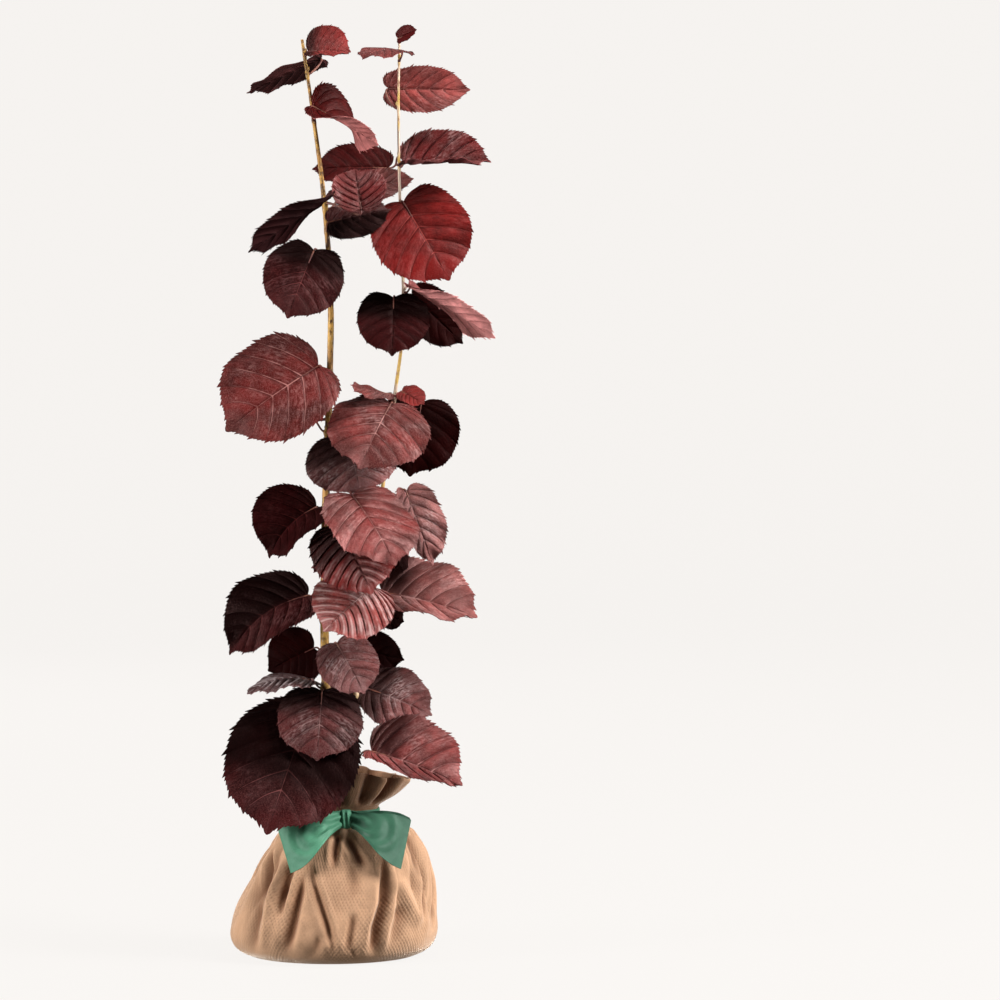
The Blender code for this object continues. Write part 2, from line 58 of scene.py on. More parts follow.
# The sack: heights, half widths and half depths of its stations, and how deep the folds are there.
NECK_SHIFT = 0.0125
NECK_RADIUS = 0.031
GATHER_HEIGHT = 0.1245  # where the tie draws the cloth into small pleats
TIE_LOW, TIE_HIGH = 0.128, 0.141
FUNNEL_FLOOR = 0.1455
RUFFLE_HEIGHT = 0.1760
RIM_HEIGHT = 0.1780
RIM_TILT = 0.009
RIM_DIP = 0.0022
SACK_GIRTH = 0.55  # the cloth's length round the sack, which the weave follows
Station = namedtuple("Station", "height half_width half_depth folds")
SACK_STATIONS = (
    Station(0.0000, 0.0800, 0.0700, 0.0),
    Station(0.0040, 0.0895, 0.0785, 0.1),
    Station(0.0100, 0.0960, 0.0845, 0.3),
    Station(0.0200, 0.0995, 0.0880, 0.5),
    Station(0.0320, 0.0985, 0.0875, 0.8),
    Station(0.0490, 0.0945, 0.0840, 1.0),
    Station(0.0700, 0.0875, 0.0770, 1.2),
    Station(0.0920, 0.0790, 0.0660, 1.3),
    Station(0.1090, 0.0700, 0.0530, 1.2),
    Station(0.1195, 0.0620, 0.0410, 0.8),
    Station(GATHER_HEIGHT, 0.0470, 0.0320, 0.2),
    Station(TIE_LOW, NECK_RADIUS, NECK_RADIUS, 0.0),
    Station(TIE_HIGH, NECK_RADIUS, NECK_RADIUS, 0.0),
    Station(0.1480, 0.0370, 0.0320, 0.5),
    Station(0.1600, 0.0490, 0.0335, 1.0),
    Station(RUFFLE_HEIGHT, 0.0600, 0.0345, 1.4),
    Station(RIM_HEIGHT, 0.0580, 0.0325, 1.4),
    Station(0.1620, 0.0465, 0.0305, 1.0),
    Station(0.1510, 0.0330, 0.0270, 0.5),
    Station(FUNNEL_FLOOR, 0.0220, 0.0220, 0.0),
)
TIE_STATION = 11  # where the belly ends and the tie starts
RUFFLE_START, RUFFLE_END = 12.3, 18.7  # the stations between which the ruffle is pleated
RUFFLE_VALLEYS = tuple(math.radians(turn) for turn in (28, 62, 96, 128, 160, 195, 230, 263, 292, 318))
FOLD_DEPTH = 0.0022
FOLD_COUNT = 11

# Creases that show on the sack's front: the places they run through, as x and height, and their depth and
# width. One of negative depth is a ridge.
Crease = namedtuple("Crease", "places depth width")
FRONT_CREASES = (
    Crease(((0.006, 0.122), (0.001, 0.106), (0.0008, 0.086)), 0.0070, 0.0028),
    Crease(((0.0115, 0.120), (0.0236, 0.100), (0.034, 0.088)), 0.0070, 0.0034),
    Crease(
        ((0.047, 0.110), (0.050, 0.082), (0.048, 0.057), (0.041, 0.036), (0.038, 0.016), (0.039, -0.010)),
        0.0095, 0.0044,
    ),
    Crease(
        ((-0.025, 0.100), (-0.0193, 0.0785), (-0.0115, 0.057), (-0.005, 0.037), (-0.001, 0.020), (0, 0)),
        0.0048, 0.0032,
    ),
    Crease(((-0.038, 0.098), (-0.0445, 0.078), (-0.049, 0.060), (-0.050, 0.040)), 0.0095, 0.0038),
    Crease(
        ((-0.026, 0.096), (-0.0345, 0.060), (-0.0392, 0.037), (-0.0435, 0.0196), (-0.045, 0.0)),
        0.0066, 0.0050,
    ),
    Crease(((0.0205, 0.052), (0.0160, 0.028), (0.0129, 0.006)), 0.0034, 0.0038),
    Crease(((0.0185, 0.018), (0.0215, 0.006), (0.0275, -0.012)), 0.0036, 0.0030),
    Crease(((0.020, 0.104), (0.021, 0.080), (0.018, 0.055)), 0.0024, 0.0060),
    Crease(((-0.010, 0.034), (-0.018, 0.012), (-0.032, -0.006)), 0.0026, 0.0045),
    Crease(((-0.068, 0.060), (-0.074, 0.030), (-0.076, 0.0)), 0.0034, 0.0045),
    Crease(((-0.050, 0.100), (-0.066, 0.070), (-0.080, 0.046)), 0.0036, 0.0065),
    Crease(((-0.050, 0.086), (-0.060, 0.048), (-0.065, 0.022)), -0.0034, 0.0050),
    Crease(((0.072, 0.118), (0.079, 0.100), (0.085, 0.070)), 0.0054, 0.0040),
    Crease(((0.056, 0.088), (0.076, 0.052), (0.096, 0.016)), -0.0034, 0.0055),
    Crease(((0.066, 0.056), (0.060, 0.036), (0.056, 0.010)), 0.0028, 0.0060),
)
BACK_CREASES = 15
BACK_RADIUS = 0.085

# The ribbon round the neck, and its bow. A loop's folds curl round its swirl.
BAND_CLEARANCE = 0.0004
KNOT_CENTRE = (NECK_SHIFT, -0.0403, 0.1342)
KNOT_SIZE = (0.012, 0.0145, 0.018)
LOOP_KNOT_HALF_WIDTH = 0.0080
LOOP_PUFF = 0.0085
LOOP_FRONT = -0.0440  # where the loops leave the knot, in front of the neck
Loop = namedtuple("Loop", "node side length end_half_width drop slant swirl")
LOOPS = (
    Loop("bow_loop_left", -1, 0.0537, 0.0245, 0.0228, 0.0077, (0.36, 0.0)),
    Loop("bow_loop_right", 1, 0.0505, 0.0216, 0.0223, 0.0050, (-0.05, 0.3)),
)

# The stems
Stem = namedtuple("Stem", "name centreline foot_radius tip_radius flare")
STEM_FOOT = FUNNEL_FLOOR + 0.0003
STEM_FLARE_HEIGHT = 0.010
MAIN_STEM = Stem(
    "main_stem",
    (
        (0.004, -0.008, STEM_FOOT),
        (0.000, -0.007, 0.180),
        (-0.006, -0.004, 0.254),
        (-0.007, 0.000, 0.395),
        (-0.002, 0.002, 0.561),
        (-0.001, 0.002, 0.620),
        (-0.007, 0.001, 0.720),
        (-0.019, -0.001, 0.814),
        (-0.028, -0.002, 0.876),
    ),
    0.0048,
    0.0014,
    0.0016,
)
SIDE_STEM = Stem(
    "side_stem",
    (
        (0.0170, 0.002, STEM_FOOT),
        (0.0175, 0.003, 0.190),
        (0.029, 0.007, 0.300),
        (0.046, 0.010, 0.430),
        (0.060, 0.010, 0.535),
        (0.068, 0.010, 0.600),
        (0.068, 0.010, 0.660),
        (0.065, 0.010, 0.735),
        (0.064, 0.010, 0.810),
        (0.065, 0.010, 0.876),
    ),
    0.0023,
    0.0010,
    0.0008,
)

# The leaves. A finish is the colour of the upper side, its veins and the underside, how deep the blade is
# quilted between its side veins, how high its edge waves, the depth of its finest crinkles, how rough it is,
# and how strong its painted grey sheen is.
Finish = namedtuple("Finish", "upper vein under quilt wave crinkle roughness bloom")
FINISHES = {
    "red": Finish((124, 30, 28), (206, 112, 104), (128, 60, 58), 0.0015, 0.0020, 0.00028, 0.42, 0.25),
    "crimson": Finish((100, 15, 14), (176, 76, 70), (120, 50, 48), 0.0013, 0.0022, 0.00028, 0.44, 0.16),
    "coral": Finish((150, 62, 58), (210, 132, 124), (140, 70, 66), 0.0011, 0.0018, 0.00028, 0.42, 0.40),
    "claret": Finish((84, 20, 19), (206, 140, 132), (128, 60, 58), 0.0010, 0.0022, 0.00030, 0.36, 0.18),
    "wine": Finish((84, 22, 24), (142, 70, 66), (118, 60, 60), 0.0012, 0.0022, 0.00028, 0.46, 0.25),
    "burgundy": Finish((42, 6, 7), (158, 92, 90), (104, 52, 52), 0.0012, 0.0020, 0.00030, 0.44, 0.20),
    "dusk": Finish((46, 9, 10), (140, 74, 72), (96, 48, 48), 0.0010, 0.0022, 0.00036, 0.42, 0.38),
    "maroon": Finish((60, 12, 12), (120, 50, 46), (96, 48, 48), 0.0013, 0.0020, 0.00028, 0.44, 0.20),
    "dusk_red": Finish((88, 20, 21), (206, 140, 134), (118, 60, 60), 0.0025, 0.0020, 0.00036, 0.36, 0.50),
    "garnet": Finish((70, 10, 10), (140, 56, 52), (198, 118, 114), 0.0012, 0.0018, 0.00028, 0.42, 0.15),
    "ribbed": Finish((122, 24, 22), (226, 160, 152), (118, 60, 60), 0.0034, 0.0020, 0.00050, 0.32, 0.60),
    "ribbed_rose": Finish((136, 50, 46), (230, 180, 172), (128, 66, 64), 0.0034, 0.0020, 0.00050, 0.32, 0.65),
    "ridged": Finish((112, 44, 42), (204, 142, 136), (156, 92, 90), 0.0020, 0.0022, 0.00034, 0.36, 0.30),
    "rose": Finish((102, 37, 35), (208, 150, 142), (156, 92, 90), 0.0013, 0.0024, 0.00032, 0.30, 0.28),
    "pale_rose": Finish((134, 68, 64), (216, 164, 156), (156, 92, 90), 0.0011, 0.0024, 0.00032, 0.36, 0.35),
    "pink": Finish((128, 56, 54), (214, 146, 142), (214, 140, 136), 0.0011, 0.0018, 0.00028, 0.42, 0.30),
    "silver": Finish((98, 44, 42), (202, 164, 160), (140, 88, 86), 0.0014, 0.0028, 0.00060, 0.34, 0.52),
    "silver_pale": Finish((132, 78, 74), (216, 178, 174), (150, 98, 96), 0.0014, 0.0028, 0.00060, 0.34, 0.50),
    "silver_dark": Finish((68, 21, 21), (184, 140, 136), (110, 64, 62), 0.0016, 0.0028, 0.00060, 0.34, 0.46),
    # black_sheen and black are painted shade: the leaf's dark purple taken near black for leaves that stand
    # in shade.
    "black_sheen": Finish((36, 5, 6), (100, 42, 40), (66, 28, 28), 0.0012, 0.0022, 0.00030, 0.42, 0.20),
    "black": Finish((26, 2, 2), (60, 16, 16), (48, 18, 18), 0.0006, 0.0020, 0.00026, 0.52, 0.05),
    "umber": Finish((46, 14, 14), (120, 74, 72), (44, 19, 20), 0.0012, 0.0018, 0.00028, 0.46, 0.25),
    "striped": Finish((58, 28, 28), (222, 194, 192), (150, 110, 108), 0.0034, 0.0020, 0.00040, 0.36, 0.60),
    "shoot": Finish((70, 13, 14), (110, 40, 38), (84, 38, 38), 0.0003, 0.0014, 0.00012, 0.44, 0.18),
    "underside": Finish((90, 38, 38), (134, 78, 76), (94, 50, 50), 0.0010, 0.0016, 0.00028, 0.46, 0.25),
}
LOBE_REACH = 0.11
TIP_REACH = 0.085
SIDE_VEIN_START = math.radians(112)
LAST_VEIN = 0.88  # where the last side vein leaves the midrib, as a share of the length
STALK_RADIUS = 0.0011
STALK_GIRTH = ((0, 0.08, 0.2, 0.75, 1), (1.5, 1.25, 0.9, 0.85, 0.4))  # radii for shares of its run
RIBBED_QUILT = 0.003  # a blade quilted deeper than this is a ribbed one
# A leaf: finish, places and shape as in the source, from each stem's tip down. Painted shadow darkens the
# blade from its stalk out to the share of its length given last but one, on both halves, or where half is 1
# or -1 on that side of the midrib only.
Leaf = namedtuple(
    "Leaf",
    "finish base tip width face bend fold cup twist sway node skew deep half",
    defaults=(0, 0, None, 0, 0, 0),
)


def rear_leaf(base, tip, width, face=(0, 0.4, 0.9)):
    """One of the like leaves that make the plant full behind."""
    return Leaf("wine", base, tip, width, face, 25, 5, -5)


MAIN_LEAVES = (
    Leaf("red", (-0.022, -0.006, 0.864), (0.018, -0.016, 0.863), 0.037, (-0.1, -0.75, 0.65), 20, 20, 10,
         skew=-0.35, deep=0.2),
    Leaf("underside", (-0.012, 0.022, 0.858), (-0.081, 0.036, 0.827), 0.046, (-0.3, 0.32, 0.9), 8, -5, -5),
    Leaf("garnet", (-0.018, -0.009, 0.812), (0.044, -0.02, 0.775), 0.05, (0.35, 0.1, 1), 10, 10, 5,
         twist=140, node=0.799, skew=-0.4),
    Leaf("pale_rose", (0.016, 0.024, 0.733), (0.078, 0.018, 0.744), 0.03, (0, -1, 0.3), 10, 5, 5),
    Leaf("umber", (-0.002, -0.04, 0.725), (-0.078, -0.044, 0.673), 0.038, (-0.3, 0.6, 0.75), 5, 10, 0,
         twist=-75, node=0.722),
    Leaf("dusk_red", (0.028, -0.03, 0.713), (0.022, -0.008, 0.752), 0.055, (0, -0.9, 0.5), 10, 18, 10,
         node=0.72),
    Leaf("silver_dark", (-0.002, -0.013, 0.702), (0.056, -0.018, 0.714), 0.042, (0, -0.85, 0.5),
         10, -15, -10, deep=1.0, half=1),
    Leaf("dusk", (-0.017, -0.014, 0.675), (-0.042, -0.034, 0.611), 0.076, (0, -1, 0.35), 20, 0, -8, deep=0.3),
    rear_leaf((-0.017, 0.012, 0.658), (-0.027, 0.074, 0.638), 0.056),
    Leaf("claret", (-0.013, -0.008, 0.565), (-0.1, -0.028, 0.504), 0.107, (-0.15, -1, 0.45), 20, 2, -10,
         skew=0.1),
    rear_leaf((-0.015, 0.012, 0.546), (-0.041, 0.08, 0.528), 0.06),
    rear_leaf((-0.018, 0.013, 0.512), (-0.074, 0.06, 0.499), 0.06, (-0.3, 0.2, 0.9)),
    Leaf("silver", (0.015, -0.006, 0.497), (0.027, -0.016, 0.442), 0.092, (0, -0.65, 0.75), 20, -5, -10,
         deep=0.42),
    rear_leaf((0.008, 0.012, 0.482), (0.021, 0.078, 0.47), 0.054),
    Leaf("black_sheen", (-0.015, -0.004, 0.43), (-0.06, -0.01, 0.382), 0.08, (-0.5, -1, 0.5), 20, 30, 0,
         sway=0.1),
    Leaf("ribbed", (0.007, -0.018, 0.411), (0.037, -0.05, 0.35), 0.08, (0, -0.75, 0.6), 20, 5, -5, deep=0.5),
    rear_leaf((0.005, 0.01, 0.376), (0.013, 0.074, 0.35), 0.052),
    Leaf("dusk", (-0.024, -0.002, 0.345), (-0.098, -0.012, 0.29), 0.068, (-0.1, -0.85, 0.5), 15, 5, -5,
         sway=0.11, skew=0.2, deep=1.0, half=1),
    rear_leaf((-0.015, 0.014, 0.332), (-0.046, 0.081, 0.319), 0.06, (-0.2, 0.4, 0.9)),
    Leaf("silver", (0.004, -0.018, 0.3), (0.03, -0.038, 0.254), 0.058, (0.1, -0.9, 0.4), 15, 5, -5),
    Leaf("black", (-0.018, 0.026, 0.292), (-0.062, 0.03, 0.27), 0.058, (0, -1, 0.3), 15, 5, -5),
    Leaf("striped", (-0.02, -0.006, 0.264), (-0.081, -0.024, 0.253), 0.056, (-0.1, -0.15, 1), 50, 0, -10),
    Leaf("silver_dark", (-0.01, -0.024, 0.255), (-0.015, -0.052, 0.192), 0.082, (0, -1, 0.45), 15, -5, -8,
         deep=0.3),
    Leaf("burgundy", (-0.023, -0.012, 0.234), (-0.062, -0.078, 0.126), 0.126, (-0.05, -0.9, 0.45), 15, 0, -5,
         deep=0.62),
    rear_leaf((-0.005, 0.008, 0.224), (0.002, 0.08, 0.199), 0.062),
)
SIDE_LEAVES = (
    Leaf("shoot", (0.064, 0.004, 0.877), (0.081, -0.004, 0.885), 0.018, (0, -0.8, 0.5), 10, 20, 0),
    Leaf("rose", (0.066, -0.006, 0.865), (0.03, -0.045, 0.855), 0.046, (0, -0.2, 1), 40, 0, -10),
    Leaf("coral", (0.055, 0.0205, 0.83), (0.132, 0.014, 0.829), 0.044, (0, -1, 0.05), 0, 8, 0,
         twist=35, node=0.811),
    Leaf("dusk_red", (0.07, 0.006, 0.759), (0.151, -0.01, 0.759), 0.062, (0, -0.6, 0.8), 15, 30, 10),
    Leaf("maroon", (0.054, 0.044, 0.755), (-0.018, 0.05, 0.754), 0.046, (0, -1, 0.45), 20, 10, 10,
         node=0.764),
    Leaf("crimson", (0.068, -0.008, 0.721), (0.111, -0.03, 0.647), 0.094, (0, -1, 0.3), 20, 0, -5),
    rear_leaf((0.053, 0.022, 0.712), (-0.003, 0.068, 0.699), 0.06, (-0.3, 0.3, 0.9)),
    rear_leaf((0.069, 0.022, 0.7), (0.08, 0.082, 0.678), 0.062),
    rear_leaf((0.076, 0.026, 0.672), (0.106, 0.092, 0.659), 0.06, (0.2, 0.4, 0.9)),
    Leaf("pink", (0.077, 0.006, 0.64), (0.155, -0.014, 0.592), 0.046, (0.2, 0.45, 0.85), 5, 5, 0, twist=60),
    Leaf("black", (0.077, 0.032, 0.632), (0.126, 0.04, 0.586), 0.048, (0, -1, 0.2), 10, 5, -5),
    Leaf("black_sheen", (0.059, -0.008, 0.63), (0.057, -0.03, 0.575), 0.068, (0, -1, 0.4), 20, 5, -5,
         deep=0.4),
    Leaf("red", (0.067, 0.004, 0.54), (0.088, -0.008, 0.528), 0.025, (0.2, -0.8, 0.6), 15, 10, 0),
    Leaf("rose", (0.056, -0.004, 0.538), (0.018, -0.02, 0.547), 0.024, (-0.1, -0.5, 0.85), -10, -10, 0,
         twist=30),
    Leaf("black", (0.086, 0.028, 0.529), (0.075, 0.032, 0.458), 0.084, (0.2, -1, 0.1), 15, 0, -8),
    Leaf("rose", (0.056, -0.014, 0.529), (0.026, -0.058, 0.469), 0.098, (0, -0.75, 0.65), 25, 0, -15),
    Leaf("silver_pale", (0.071, 0.012, 0.444), (0.096, 0, 0.374), 0.04, (0.1, -0.95, 0.25), 15, 5, -10,
         skew=-0.3),
    Leaf("rose", (0.019, -0.034, 0.443), (0.059, -0.077, 0.379), 0.093, (0.3, -0.65, 0.68), 20, 0, -8,
         skew=-0.04),
    rear_leaf((0.05, 0.024, 0.433), (0.039, 0.086, 0.413), 0.066),
    rear_leaf((0.05, 0.026, 0.412), (0.08, 0.092, 0.399), 0.06, (0.2, 0.4, 0.9)),
    Leaf("black", (0.064, 0.022, 0.396), (0.068, 0.018, 0.365), 0.026, (0.9, -0.35, 0.1), 15, 10, 0),
    Leaf("ribbed_rose", (0.038, -0.024, 0.354), (-0.008, -0.054, 0.315), 0.08, (0, -0.8, 0.6), 20, 0, -5),
    Leaf("pale_rose", (0.048, 0.012, 0.347), (0.138, -0.004, 0.324), 0.072, (0.1, -0.65, 0.75), 20, 15, -12,
         skew=-0.35, deep=0.25, half=-1),
    Leaf("black", (0.046, 0.024, 0.327), (0.069, 0.03, 0.317), 0.026, (0, -1, 0.3), 10, 5, 0),
    Leaf("black", (0.013, 0.034, 0.294), (0.069, 0.042, 0.279), 0.042, (0, -1, 0.2), 10, 5, -5),
    rear_leaf((0.021, 0.034, 0.252), (0.015, 0.088, 0.235), 0.048),
    Leaf("silver", (0.034, 0.01, 0.254), (0.095, 0.004, 0.229), 0.066, (0.1, -0.8, 0.6), 20, 8, -8, deep=0.3),
    Leaf("ridged", (0.037, -0.04, 0.199), (0.122, -0.056, 0.168), 0.064, (0.1, -0.75, 0.65), 22, 10, -8,
         skew=-0.55, deep=0.3, half=-1),
)
LEAVES = {"main_stem": MAIN_LEAVES, "side_stem": SIDE_LEAVES}

# Where chance starts for each kind of piece. A leaf adds its number.
LEAF_SEEDS = {"main_stem": 0, "side_stem": 100}
STEM_SEED = 7
SACK_SEED = 3

# How finely a blade is laid out
TEETH_PER_VEIN = 4
TOOTH_PHASES = (0.0, 0.45, 0.9)
TOOTH_RISES = (0.0, 0.5, 1.0)
LEADING_TOOTH = 1  # of each vein's teeth, the one that the vein ends in
BLADE_SHARES = np.array((0.0, 0.03, 0.08, 0.17, 0.28, 0.40, 0.52, 0.64, 0.75, 0.84, 0.91, 0.96, 1.0))
Rows = namedtuple("Rows", "places rises leading fade")
Edge = namedtuple("Edge", "start points heading outward")
STALK_STEPS = 14
STALK_SIDES = 8

SHARP_ANGLE = math.radians(50)  # edges that turn more than this stay sharp

# How finely the other pieces are laid out
STEM_RING_STEP = 0.0016
STEM_SIDES = 20
SACK_COLUMNS = 400
SACK_RINGS_PER_STATION = 10
BOW_STEPS = 44
BOW_ROWS = 18
BUD_STEPS, BUD_SIDES = 7, 10
BAND_ROWS, BAND_SIDES = 12, 160
KNOT_RINGS, KNOT_SIDES = 40, 56

# The stage: a round floor with a wall that curves up from it, the camera and the lights
FLOOR_RADII = (0.0, 1.5, 3.5, 5.0)
FLOOR_HEIGHT = -0.0006
FLOOR_CURVE = 1.6
CURVE_STEPS = 12
WALL_HEIGHT = 8.0
BACKDROP_SIDES = 96
CAMERA_PLACE = (0, -3.99, 0.62)
CAMERA_AIM = (0.1608, 0, 0.436)
CAMERA_LENS = 150
CAMERA_SENSOR = 36
Light = namedtuple("Light", "name power_setting location aim size glossy")
LIGHTS = (
    Light("key light", "key_power", (2.4, -1.1, 2.4), (0, 0, 0.35), 1.2, True),
    Light("right light", "right_power", (2.9, -0.3, 0.9), (0, 0, 0.2), 1.0, True),
    Light("top light", "top_power", (0.3, -0.5, 2.9), (0, 0, 0.4), 1.0, True),
    Light("left light", "left_power", (-3.0, -1.2, 1.0), (0, 0, 0.15), 1.4, True),
    Light("back light", "back_power", (-0.6, 3.0, 1.6), (0, 0, 0.4), 1.2, False),
)


def tone(red, green, blue):
    """A screen colour of 0 to 255 as linear light."""
    shares = [channel / 255 for channel in (red, green, blue)]
    return tuple(s / 12.92 if s <= 0.04045 else ((s + 0.055) / 1.055) ** 2.4 for s in shares)


def smooth(share):
    share = np.clip(share, 0, 1)
    return share * share * (3 - 2 * share)


def shade(colour, share):
    """A colour made darker, or lighter where the share is above 1."""
    return tuple(min(1, channel * share) for channel in colour)


class HazelLeafSettings(bpy.types.PropertyGroup):
    """Sizes that every leaf shares"""

    thickness: bpy.props.FloatProperty(
        name="Blade thickness",
        description="Thickness of a blade between its veins",
        default=0.0005,
        unit="LENGTH",
    )
    vein_pairs: bpy.props.IntProperty(
        name="Vein pairs", description="Side veins on each half of a blade", default=9, min=3, max=12
    )
    tooth: bpy.props.FloatProperty(
        name="Tooth",
        description="Height of the largest teeth, as a share of the blade's length",
        default=0.03,
    )
    rib_height: bpy.props.FloatProperty(
        name="Rib height",
        description="How far the veins stand out of the underside",
        default=0.0006,
        unit="LENGTH",
    )


class HazelStemSettings(bpy.types.PropertyGroup):
    """Sizes and colours of the bark"""

    relief: bpy.props.FloatProperty(
        name="Bark relief", description="Height of the bark's wrinkles", default=0.00022, unit="LENGTH"
    )
    node_swelling: bpy.props.FloatProperty(
        name="Node swelling", description="How much a stem swells where a leaf leaves it", default=0.45
    )
    bud_length: bpy.props.FloatProperty(
        name="Bud length", description="Length of a bud at a leaf's foot", default=0.0052, unit="LENGTH"
    )
    main_colour: bpy.props.FloatVectorProperty(
        name="Main stem", description="Lit bark of the main stem", subtype="COLOR", default=tone(224, 172, 84)
    )
    side_colour: bpy.props.FloatVectorProperty(
        name="Side stem",
        description="Lit bark of the side stem",
        subtype="COLOR",
        default=tone(244, 216, 192),
    )


class HazelSackSettings(bpy.types.PropertyGroup):
    """Sizes and colours of the jute sack"""

    thread_pitch: bpy.props.FloatProperty(
        name="Thread pitch", description="Distance between the jute's threads", default=0.0033, unit="LENGTH"
    )
    crease_scale: bpy.props.FloatProperty(
        name="Creases", description="Depth of the cloth's creases, where 1 is as tied", default=1.0
    )
    colour: bpy.props.FloatVectorProperty(
        name="Jute", description="Colour of the jute", subtype="COLOR", default=tone(184, 144, 113)
    )


class HazelRibbonSettings(bpy.types.PropertyGroup):
    """Size and colour of the ribbon"""

    thickness: bpy.props.FloatProperty(
        name="Ribbon thickness", description="Thickness of the ribbon", default=0.0008, unit="LENGTH"
    )
    colour: bpy.props.FloatVectorProperty(
        name="Ribbon", description="Colour of the ribbon", subtype="COLOR", default=tone(84, 142, 112)
    )


class HazelStageSettings(bpy.types.PropertyGroup):
    """The stage's colour and lights"""

    colour: bpy.props.FloatVectorProperty(
        name="Floor",
        description="Colour of the floor and backdrop",
        subtype="COLOR",
        default=tone(246, 243, 240),
    )
    key_power: bpy.props.FloatProperty(
        name="Key light", description="Power of the light from the upper right", default=158.0, unit="POWER"
    )
    top_power: bpy.props.FloatProperty(
        name="Top light", description="Power of the light above", default=20.0, unit="POWER"
    )
    left_power: bpy.props.FloatProperty(
        name="Left light", description="Power of the weaker light from the left", default=131.0, unit="POWER"
    )
    right_power: bpy.props.FloatProperty(
        name="Right light", description="Power of the weaker light from the right", default=59.0, unit="POWER"
    )
    back_power: bpy.props.FloatProperty(
        name="Back light", description="Power of the weak light from behind", default=32.0, unit="POWER"
    )
    fill: bpy.props.FloatProperty(
        name="Fill", description="Strength of the even light all round", default=0.10
    )


def new_mesh(name, points, faces, collection):
    mesh = bpy.data.meshes.new(name)
    mesh.from_pydata([tuple(p) for p in points], [], faces)
    obj = bpy.data.objects.new(name, mesh)
    collection.objects.link(obj)
    return obj


def weld(mesh, distance):
    cage = bmesh.new()
    cage.from_mesh(mesh)
    bmesh.ops.remove_doubles(cage, verts=cage.verts, dist=distance)
    cage.to_mesh(mesh)
    cage.free()


def soften(mesh):
    mesh.shade_smooth()
    mesh.set_sharp_from_angle(angle=SHARP_ANGLE)


def keep_values(mesh, name, values):
    """Keeps a value for each point, for the mesh's material."""
    mesh.attributes.new(name, "FLOAT", "POINT").data.foreach_set("value", values)


def keep_coordinates(mesh, name, coordinates):
    """Keeps two coordinates for each face corner, for the mesh's material."""
    mesh.uv_layers.new(name=name).data.foreach_set("uv", coordinates)


def new_piece(name, points, faces, material, collection):
    """A mesh of one material, smooth but for its sharp edges."""
    obj = new_mesh(name, points, faces, collection)
    obj.data.materials.append(material)
    soften(obj.data)
    return obj


def turns_of(sides):
    return 2 * math.pi * np.arange(sides) / sides


def ring_points(middle, radii, turns):
    """Points round a middle, each at its own radius and turn."""
    return middle + np.stack([radii * np.cos(turns), radii * np.sin(turns), np.zeros(len(turns))], axis=-1)


def ring_faces(count, sides, ends="filled"):
    """Faces between rings of points, whose two end rings are filled, open or joined to each other."""
    faces = []
    for ring in range(count if ends == "joined" else count - 1):
        low, high = ring * sides, (ring + 1) % count * sides
        for side in range(sides):
            after = (side + 1) % sides
            faces.append((low + side, low + after, high + after, high + side))
    if ends == "filled":
        faces.append(tuple(reversed(range(sides))))
        faces.append(tuple(range((count - 1) * sides, count * sides)))
    return faces


def place(piece, node):
    """Sets a finished piece over the CAD node that it stands for."""
    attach(piece, BODY)
    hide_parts(node)


